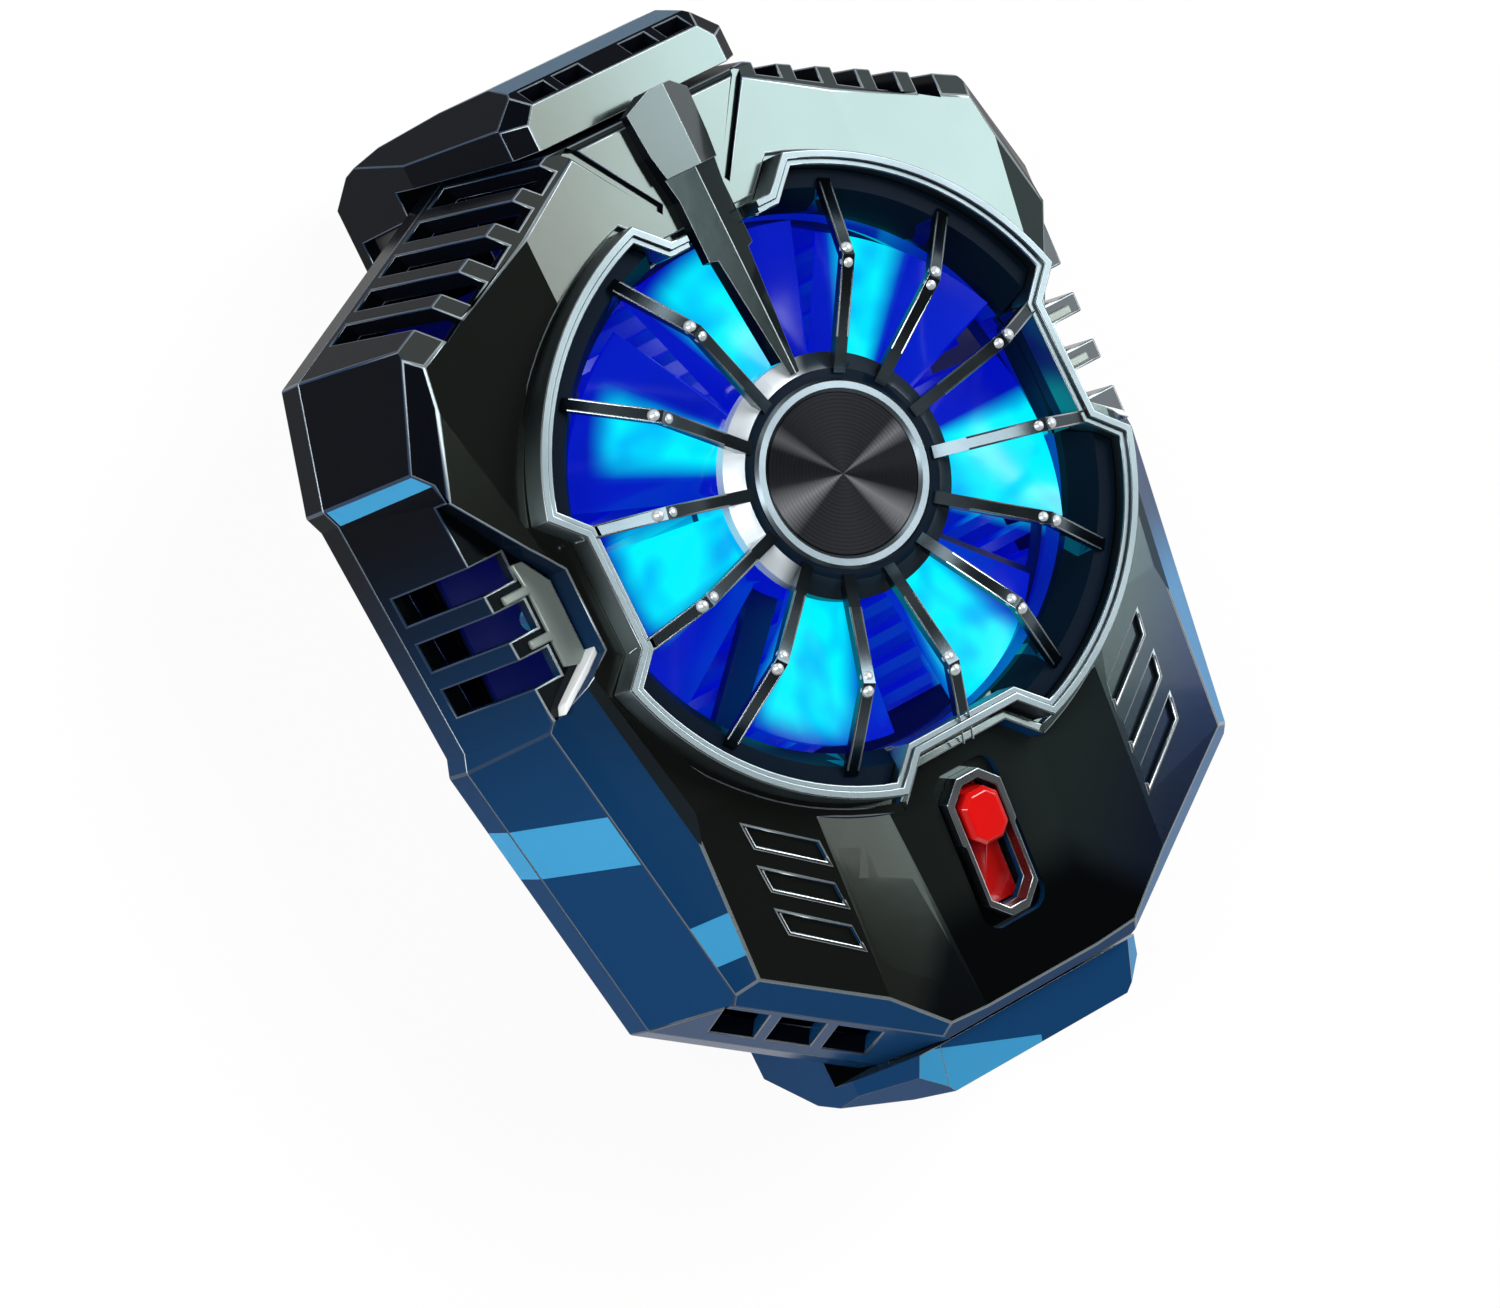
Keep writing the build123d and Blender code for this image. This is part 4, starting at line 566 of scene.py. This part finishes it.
# The parts behind the fan and inside the casing keep their CAD shapes. A line holds the nodes,
# their finish, its colour and shade, patch, rough from and to, grain and grainDepth, and the rest;
# the lit ones glow with the fan's light or with one colour of their own
inside = [
    (["fan_frame"], "litMouldedPbt", "#05123c", "#040d2c", 6, 0.3, 0.45, 0.5, 0.006,
     {"light": "#020a58", "strength": 0.5, "sockets": {"Specular IOR Level": 0.2}}),
    (["heat_sink"], "litExtrudedAluminium", "#1c2c6c", "#14225c", 4, 0.3, 0.45, 0.3, 0.004,
     {"metal": 0.4, "stretch": (1, 0.1, 1), "strength": 0.8}),
    (["led_board"], "litSolderMask", "#0a1a50", "#081440", 5, 0.35, 0.5, 0.4, 0.004,
     {"strength": 0.6}),
    (["leds"], "mouldedEpoxyLens", "#d0e6ff", "#b8d4f8", 1, 0.1, 0.2, 0.3, 0.002, {"strength": 3.0}),
    (["upper_light_guide", "lower_light_guide"], "frostedAcrylic", "#06206a", "#041850", 3, 0.3, 0.4,
     0.25, 0.006, {"light": "#0216a0", "strength": 0.7}),
    (["motor_stator"], "enamelledCopperWinding", "#8a4a22", "#6c3616", 1.2, 0.3, 0.45, 0.3, 0.02,
     {"metal": 0.9}),
    (["rotor_magnet"], "sinteredFerrite", "#1c1b1b", "#141313", 3, 0.5, 0.65, 0.2, 0.01, {}),
    (["rotor_shaft"], "groundSteel", "#9a9c9e", "#85878a", 2, 0.18, 0.28, 0.15, 0.002, {"metal": 1.0}),
    (["shaft_clip"], "stampedSpringSteel", "#7c7e80", "#65676a", 2, 0.28, 0.4, 0.2, 0.003,
     {"metal": 1.0}),
    (["bearing_sleeve"], "sinteredBronze", "#8a6a38", "#74562a", 2, 0.45, 0.6, 0.18, 0.012,
     {"metal": 1.0}),
    (["peltier_module"], "groundAlumina", "#dcdcd6", "#cfcfc8", 6, 0.55, 0.7, 0.3, 0.006, {}),
    (["cold_plate"], "milledAluminium", "#b0b3b8", "#9da1a6", 5, 0.28, 0.4, 0.3, 0.006,
     {"metal": 1.0, "stretch": (1, 0.06, 1)}),
    (["thermal_pad"], "castGreySilicone", "#62666d", "#54585f", 4, 0.6, 0.75, 0.4, 0.02, {}),
    (["slide_retainer_plate"], "litPhosphatedSteel", "#10162c", "#0c1124", 7, 0.45, 0.6, 0.4, 0.004,
     {"light": "#0208a0", "strength": 0.12, "sockets": {"Specular IOR Level": 0.15}}),
    (["control_board"], "solderMaskedBoard", "#0c4a2a", "#0a3c22", 5, 0.35, 0.5, 0.5, 0.008, {}),
    (["board_components"], "mouldedEpoxyChip", "#101113", "#17181b", 2, 0.5, 0.65, 0.2, 0.006, {}),
    (["switch_body"], "mouldedNylon", "#15171a", "#1c1e22", 3, 0.45, 0.6, 0.3, 0.008, {}),
    (["usb_shell"], "drawnStainlessSteel", "#aeb2b6", "#989ca0", 3, 0.22, 0.34, 0.2, 0.003,
     {"metal": 1.0}),
    (["usb_tongue"], "mouldedBlackLcp", "#131416", "#1a1b1e", 2, 0.45, 0.6, 0.2, 0.006, {}),
    (["pinion"], "mouldedAcetal", "#d8d5cb", "#cbc7bb", 3, 0.35, 0.5, 0.3, 0.006, {}),
    (["pinion_pin", "spring_post"], "turnedSteelPin", "#96989b", "#7f8184", 2, 0.22, 0.34, 0.15, 0.003,
     {"metal": 1.0}),
    (["upper_spring", "lower_spring"], "drawnSpringSteel", "#8c8f93", "#74777b", 2, 0.25, 0.36,
     0.15, 0.003, {"metal": 1.0}),
    (["case_screws", "fan_screws", "retainer_screws", "board_screws"], "blackenedSteelScrew",
     "#202124", "#2b2c30", 1, 0.32, 0.45, 0.15, 0.004, {"metal": 0.9}),
]
for names, label, colour, shade, patch, low, high, grain, grainDepth, rest in inside:
    look = {"colour": colour, "shade": shade, "patch": patch, "rough": (low, high),
            "grain": grain, "grainDepth": grainDepth, **rest}
    finish = makeLit(label, look) if "strength" in look else makeFinish(label, look)[0]
    for name in names:
        materials = frame["nodes"][name].data.materials
        materials.clear()
        materials.append(finish)
print("inside finished")

# Clamps: the casing's lacquer with its painted light and shade, with its own painted navy light, a
# blue back and one ice blue wedge of painted reflection, and linings of moulded silicone
clamps = dict(
    casing, sideFacing=(0.98, 0.86),
    paintedSideLight=[{"colour": paintedBlueLight, "where": [("y", 30, -30)]}, *casing["paintedSideLight"][1:],
               {"colour": "#35536a", "where": [("facingY", 0.85, 0.851)]}],
    paintedReflections=[{"colour": paintedReflectionBlue, "where": [("x", 0, -0.01), ("reflectionSlant", -41.46, -41.47),
                                         ("facingY", -0.67, -0.669), ("facingY", -0.43, -0.431),
                                         ("facingZ", 0.6, 0.601)]}],
    edge={"width": 0.18, "material": 1, "smooth": 4})
linings = {"colour": "#16171a", "shade": "#1c1e21", "patch": 4, "rough": (0.6, 0.75),
           "grain": 0.35, "grainDepth": 0.02, "edge": {"width": 0.25}}
clampLacquer = makeLacquer("gunmetalLacqueredClamp", clamps)
for name in ("upper_clamp_arm", "lower_clamp_arm"):
    dressNode(name, [clampLacquer, paintedEdgeHighlight], clamps["edge"])
silicone = makeFinish("mouldedBlackSilicone", linings)[0]
for name in ("upper_jaw_pad", "lower_jaw_pad"):
    dressNode(name, [silicone], linings["edge"])
print("clamps made")

# Switch: a gloss red moulded knob in a chromed bezel
knob = {"colour": "#d81210", "shade": "#c00c0c", "patch": 3, "rough": (0.14, 0.22),
        "grain": 0.5, "grainDepth": 0.003, "coat": 0.5,
        "edge": {"width": 0.25, "segments": 3, "least": 20, "shortest": 0.3}}
# the bezel's rounded edges take the pale chrome of painted highlight
bezelEdge = {"width": 0.1, "material": 1, "shortest": 0.3}
dressNode("switch_knob", [makeFinish("glossRedMouldedAbs", knob)[0]], knob["edge"])
dressNode("switch_bezel", [satinChrome, highlightChrome], bezelEdge)
print("switch made")

# Knuckle beads: two small satin nickel beads on the knee of each spoke
beads = {
    "radius": 0.52, "along": 0.5, "knee": 16.1, "height": 38.95, "rings": 10, "sectors": 16,
    "colour": "#d4dce0", "shade": "#c4ccd0", "patch": 3, "rough": (0.3, 0.38),
    "grain": 0.4, "grainDepth": 0.002, "metal": 0.5,
}


# a bead is a sphere p = c + R (cos u sin v, sin u sin v, cos v); all of them on one array
def makeBeads():
    u = np.linspace(0, 2 * np.pi, beads["sectors"], endpoint=False)
    v = np.linspace(0, np.pi, beads["rings"])[1:-1]
    ball = np.stack([np.outer(np.sin(v), np.cos(u)), np.outer(np.sin(v), np.sin(u)),
                     np.outer(np.cos(v), np.ones_like(u))], -1).reshape(-1, 3)
    ball = np.concatenate([ball, [[0, 0, 1], [0, 0, -1]]]) * beads["radius"]
    n, m = beads["sectors"], beads["rings"] - 2
    i, j = np.meshgrid(np.arange(m - 1), np.arange(n), indexing="ij")
    k = (j + 1) % n
    quads = np.stack([i * n + j, (i + 1) * n + j, (i + 1) * n + k, i * n + k], -1).reshape(-1, 4)
    j = np.arange(n)
    k = (j + 1) % n
    last = (m - 1) * n
    top = np.stack([np.full(n, m * n), j, k], -1)
    foot = np.stack([np.full(n, m * n + 1), last + k, last + j], -1)
    reach = beads["knee"] + np.array([-1, 1]) * beads["along"]
    height = np.full((len(spokeTurns), len(reach)), beads["height"])
    centre = np.stack([np.outer(np.cos(spokeTurns), reach),
                       np.outer(np.sin(spokeTurns), reach) + fanY, height], -1).reshape(-1, 3)
    points = (centre[:, None, :] + ball[None]).reshape(-1, 3)
    step = (np.arange(len(centre)) * len(ball))[:, None, None]
    faces = [face for part in (quads, top, foot)
             for face in (part[None] + step).reshape(-1, part.shape[1]).tolist()]
    addPiece("knuckle_beads", points, faces, makeFinish("satinNickelBead", beads)[0])


makeBeads()
print("beads made")


# a profile carried along a path that bends in a plane: points p + u e + v n for each (u, v) of the
# rim, where n is the plane's normal and e the mitred side direction at each corner
def carryProfile(path, normal, rim):
    run = np.diff(path, axis=0)
    run /= np.linalg.norm(run, axis=1)[:, None]
    side = np.cross(normal, run)
    before = np.concatenate([side[:1], side])
    after = np.concatenate([side, side[-1:]])
    mitre = before + after
    mitre /= (mitre * before).sum(1)[:, None]
    return path[:, None] + rim[None, :, :1] * mitre[:, None] + rim[None, :, 1:] * normal


# faces of a closed strip of rows by columns points, with its two ends, from point first on
def stripFaces(rows, columns, first):
    i, j = np.meshgrid(np.arange(rows - 1), np.arange(columns), indexing="ij")
    k = (j + 1) % columns
    sides = np.stack([i * columns + j, (i + 1) * columns + j,
                      (i + 1) * columns + k, i * columns + k], -1)
    ends = [list(range(columns)), list(range(rows * columns - 1, (rows - 1) * columns - 1, -1))]
    return [[first + v for v in face] for face in sides.reshape(-1, 4).tolist() + ends]


# one piece of many strips, each the points of a carried profile
def addStrips(name, strips):
    faces = []
    for number, strip in enumerate(strips):
        first = sum(s.shape[0] * s.shape[1] for s in strips[:number])
        faces += stripFaces(strip.shape[0], strip.shape[1], first)
    points = np.concatenate([strip.reshape(-1, 3) for strip in strips])
    addPiece(name, points, faces, highlightChrome)


# Mark highlights: a bright rounded chrome line along the outer and the lower edge of each pressed
# mark, a painted highlight that stands in for the light on those walls.
# The shape is the first mark's line from the fan's axis; facet is a point of the casing's facet
# under it, and tilt and aim, in degrees, say how that facet leans and where to
inlays = {
    "shape": [(18.7, -20.1), (18.5, -21.8), (13.6, -25.6), (13.66, -25.0)], "rows": 3, "pitch": 3.5,
    "width": 0.34, "height": 0.16, "steps": 7,
    "facet": (13.2, -21.6, 34.1), "tilt": 12.4, "aim": -51.7,
}


# the line's profile is half an ellipse with a foot, carried along the shape laid on the facet
def makeMarkHighlights():
    tilt, aim = math.radians(inlays["tilt"]), math.radians(inlays["aim"])
    normal = np.array([math.sin(tilt) * math.cos(aim), math.sin(tilt) * math.sin(aim),
                       math.cos(tilt)])
    centre = np.array(inlays["facet"])
    a = np.linspace(0, np.pi, inlays["steps"])
    half, height = inlays["width"] / 2, inlays["height"]
    arch = np.stack([np.cos(a) * half, np.sin(a) * height], -1)
    rim = np.concatenate([arch, [[-half, -height], [half, -height]]])
    strips = []
    for row in range(inlays["rows"]):
        flat = np.array(inlays["shape"]) - [0, row * inlays["pitch"]]
        rise = -((flat - centre[:2]) @ normal[:2]) / normal[2]
        path = np.column_stack([flat, centre[2] + rise]) + [0, fanY, 0]
        for side in (1, -1):
            mirror = np.array([side, 1, 1])
            strips.append(carryProfile(path * mirror, normal * mirror, rim))
    addStrips("mark_inlays", strips)


makeMarkHighlights()

# Spoke lines: a bright chrome wire along both upper edges of every spoke, a painted highlight that
# stands in for the light on those edges; the path is (radius, z)
wires = {"path": [(10.2, 37.52), (16.1, 39.37), (22.2, 35.77)],
         "apart": 0.43, "radius": 0.09, "sides": 8}


# a wire is a circle carried along its path, which is turned to each spoke
def makeSpokeHighlights():
    a = np.linspace(0, 2 * np.pi, wires["sides"], endpoint=False)
    rim = np.stack([np.cos(a), np.sin(a)], -1) * wires["radius"]
    reach, height = np.array(wires["path"]).T
    strips = []
    for turn in spokeTurns:
        across = np.array([-np.sin(turn), np.cos(turn), 0])
        path = np.column_stack([reach * np.cos(turn), reach * np.sin(turn) + fanY, height])
        strips += [carryProfile(path + across * side * wires["apart"], across, rim)
                   for side in (-1, 1)]
    addStrips("spoke_wires", strips)


makeSpokeHighlights()

# Pocket bars: a pale painted bar with teeth on the floor of each side pocket, and a white rib,
# the spike, that stands along the pocket's lower wall
bars = {
    "bar": [(24.8, 9.5), (23.9, 9.4), (22.5, 7.2), (22.5, 1.3), (23.4, 0.7), (24.5, 1.0), (24.5, 3.2),
            (26.2, 3.2), (26.2, 3.9), (24.5, 3.9), (24.5, 7.0), (26.6, 7.0), (26.6, 7.7), (24.6, 7.7)],
    "spike": [(22.4, 0.9), (23.6, -0.1), (26.6, -2.15), (26.3, -1.4), (23.5, 0.6), (22.4, 1.5)],
    "low": 29.9, "barHigh": 30.5, "spikeHigh": [32.2, 32.0, 31.5, 31.5, 32.0, 32.2],
    "rounded": 0.12,
    "barPaint": {"colour": "#8f9a94", "shade": "#7f8a85", "patch": 5, "rough": (0.35, 0.45),
                 "grain": 0.4, "grainDepth": 0.004, "metal": 0.3},
    "spikePaint": {"colour": "#f0f4f4", "shade": "#e2e8e8", "patch": 5, "rough": (0.35, 0.45),
                   "grain": 0.4, "grainDepth": 0.004},
}


# a flat outline raised from low to high: the same points at two heights, with walls between them
def raiseOutline(outline, low, high):
    flat = np.array(outline)
    n = len(flat)
    points = np.concatenate([np.column_stack([flat, np.full(n, z)]) for z in (low, high)])
    k = np.arange(n)
    walls = np.stack([k, (k + 1) % n, n + (k + 1) % n, n + k], -1).tolist()
    return points, [list(range(n)), list(range(n, 2 * n)), *walls]


def makeBars():
    barPaint = makeFinish("sprayedPalePaint", bars["barPaint"])[0]
    spikePaint = makeFinish("sprayedWhitePaint", bars["spikePaint"])[0]
    for side, word in ((-1, "left"), (1, "right")):
        for part, paint in (("bar", barPaint), ("spike", spikePaint)):
            outline = [(side * x, y) for x, y in bars[part]]
            points, faces = raiseOutline(outline, bars["low"], bars[part + "High"])
            piece = addPiece(f"{word}_pocket_{part}", points, faces, paint, sharp=20)
            bevel = piece.modifiers.new("roundedEdges", "BEVEL")
            bevel.width = bars["rounded"] / 1000
            bevel.segments = 2


makeBars()
print("inlays, wires and pocket bars made")

# Floor: matte white paper that shows white behind the object and still takes its shadow; white is
# the share of plain white in what the camera, a reflection or a clear part sees of it
floor = {"half": 3.0, "height": -0.0004, "colour": "#f2f2f0", "rough": 0.85, "white": 0.93}


def makeFloor():
    h, z = floor["half"], floor["height"]
    mesh = bpy.data.meshes.new("floor")
    mesh.from_pydata([(-h, -h, z), (h, -h, z), (h, h, z), (-h, h, z)], [], [(0, 1, 2, 3)])
    material = bpy.data.materials.new("matteWhitePaper")
    material.use_nodes = True
    tree = material.node_tree
    shader = tree.nodes["Principled BSDF"]
    shader.inputs["Base Color"].default_value = toLinear(floor["colour"])
    shader.inputs["Roughness"].default_value = floor["rough"]
    ray = addNode(tree, "ShaderNodeLightPath").outputs
    seen = addNode(tree, "ShaderNodeMath", {0: ray["Is Camera Ray"], 1: ray["Is Glossy Ray"]},
                   operation="ADD").outputs[0]
    seen = addNode(tree, "ShaderNodeMath", {0: seen, 1: ray["Is Transmission Ray"]},
                   operation="ADD", use_clamp=True).outputs[0]
    share = addNode(tree, "ShaderNodeMath", {0: seen}, {1: floor["white"]}, operation="MULTIPLY")
    white = addNode(tree, "ShaderNodeEmission", None, {"Color": (1, 1, 1, 1), "Strength": 1.0})
    both = addNode(tree, "ShaderNodeMixShader",
                   {0: share.outputs[0], 1: shader.outputs[0], 2: white.outputs[0]})
    tree.links.new(both.outputs[0], tree.nodes["Material Output"].inputs["Surface"])
    mesh.materials.append(material)
    piece = bpy.data.objects.new("floor", mesh)
    bpy.context.scene.collection.objects.link(piece)


makeFloor()

# Studio light: panels as (place, target, width, height, radiance), in metres
panels = {
    "key": ((0.36, 0.14, 0.52), (0.0, 0.005, 0.03), 0.40, 0.38, 9.0),
    "low": ((0.43, -0.15, 0.42), (0.0, 0.0, 0.03), 0.18, 0.17, 2.3),
    "left": ((-0.41, 0.10, 0.36), (0.0, 0.0, 0.03), 0.17, 0.60, 8.0),
    "top": ((-0.10, 0.55, 0.20), (0.0, 0.0, 0.03), 0.3, 0.12, 3.0),
}
# the room is pale at the horizon and dim overhead, where the direction's height is dimFrom or more
room = {"colour": "#ffffff", "horizon": 0.45, "overhead": 0.025, "dimFrom": 0.75}


def makePanels():
    for name, (place, target, width, height, radiance) in panels.items():
        data = bpy.data.lights.new(name, "AREA")
        data.shape = "RECTANGLE"
        data.size = width
        data.size_y = height
        data.energy = radiance * math.pi * width * height
        lamp = bpy.data.objects.new(name, data)
        lamp.location = place
        aim = Vector(target) - Vector(place)
        lamp.rotation_euler = aim.to_track_quat("-Z", "Y").to_euler()
        bpy.context.scene.collection.objects.link(lamp)


def makeRoom():
    world = bpy.data.worlds.new("studio")
    bpy.context.scene.world = world
    world.use_nodes = True
    tree = world.node_tree
    way = addNode(tree, "ShaderNodeTexCoord").outputs["Generated"]
    height = addNode(tree, "ShaderNodeSeparateXYZ", {0: way})
    level = addNode(tree, "ShaderNodeMapRange", {"Value": height.outputs["Z"]},
                    {"From Min": 0.0, "From Max": room["dimFrom"],
                     "To Min": room["horizon"], "To Max": room["overhead"]},
                    interpolation_type="SMOOTHSTEP")
    tree.nodes["Background"].inputs["Color"].default_value = toLinear(room["colour"])
    tree.links.new(level.outputs[0], tree.nodes["Background"].inputs["Strength"])


makePanels()
makeRoom()
bpy.context.scene.view_settings.view_transform = "Standard"
print("stage and lights made")
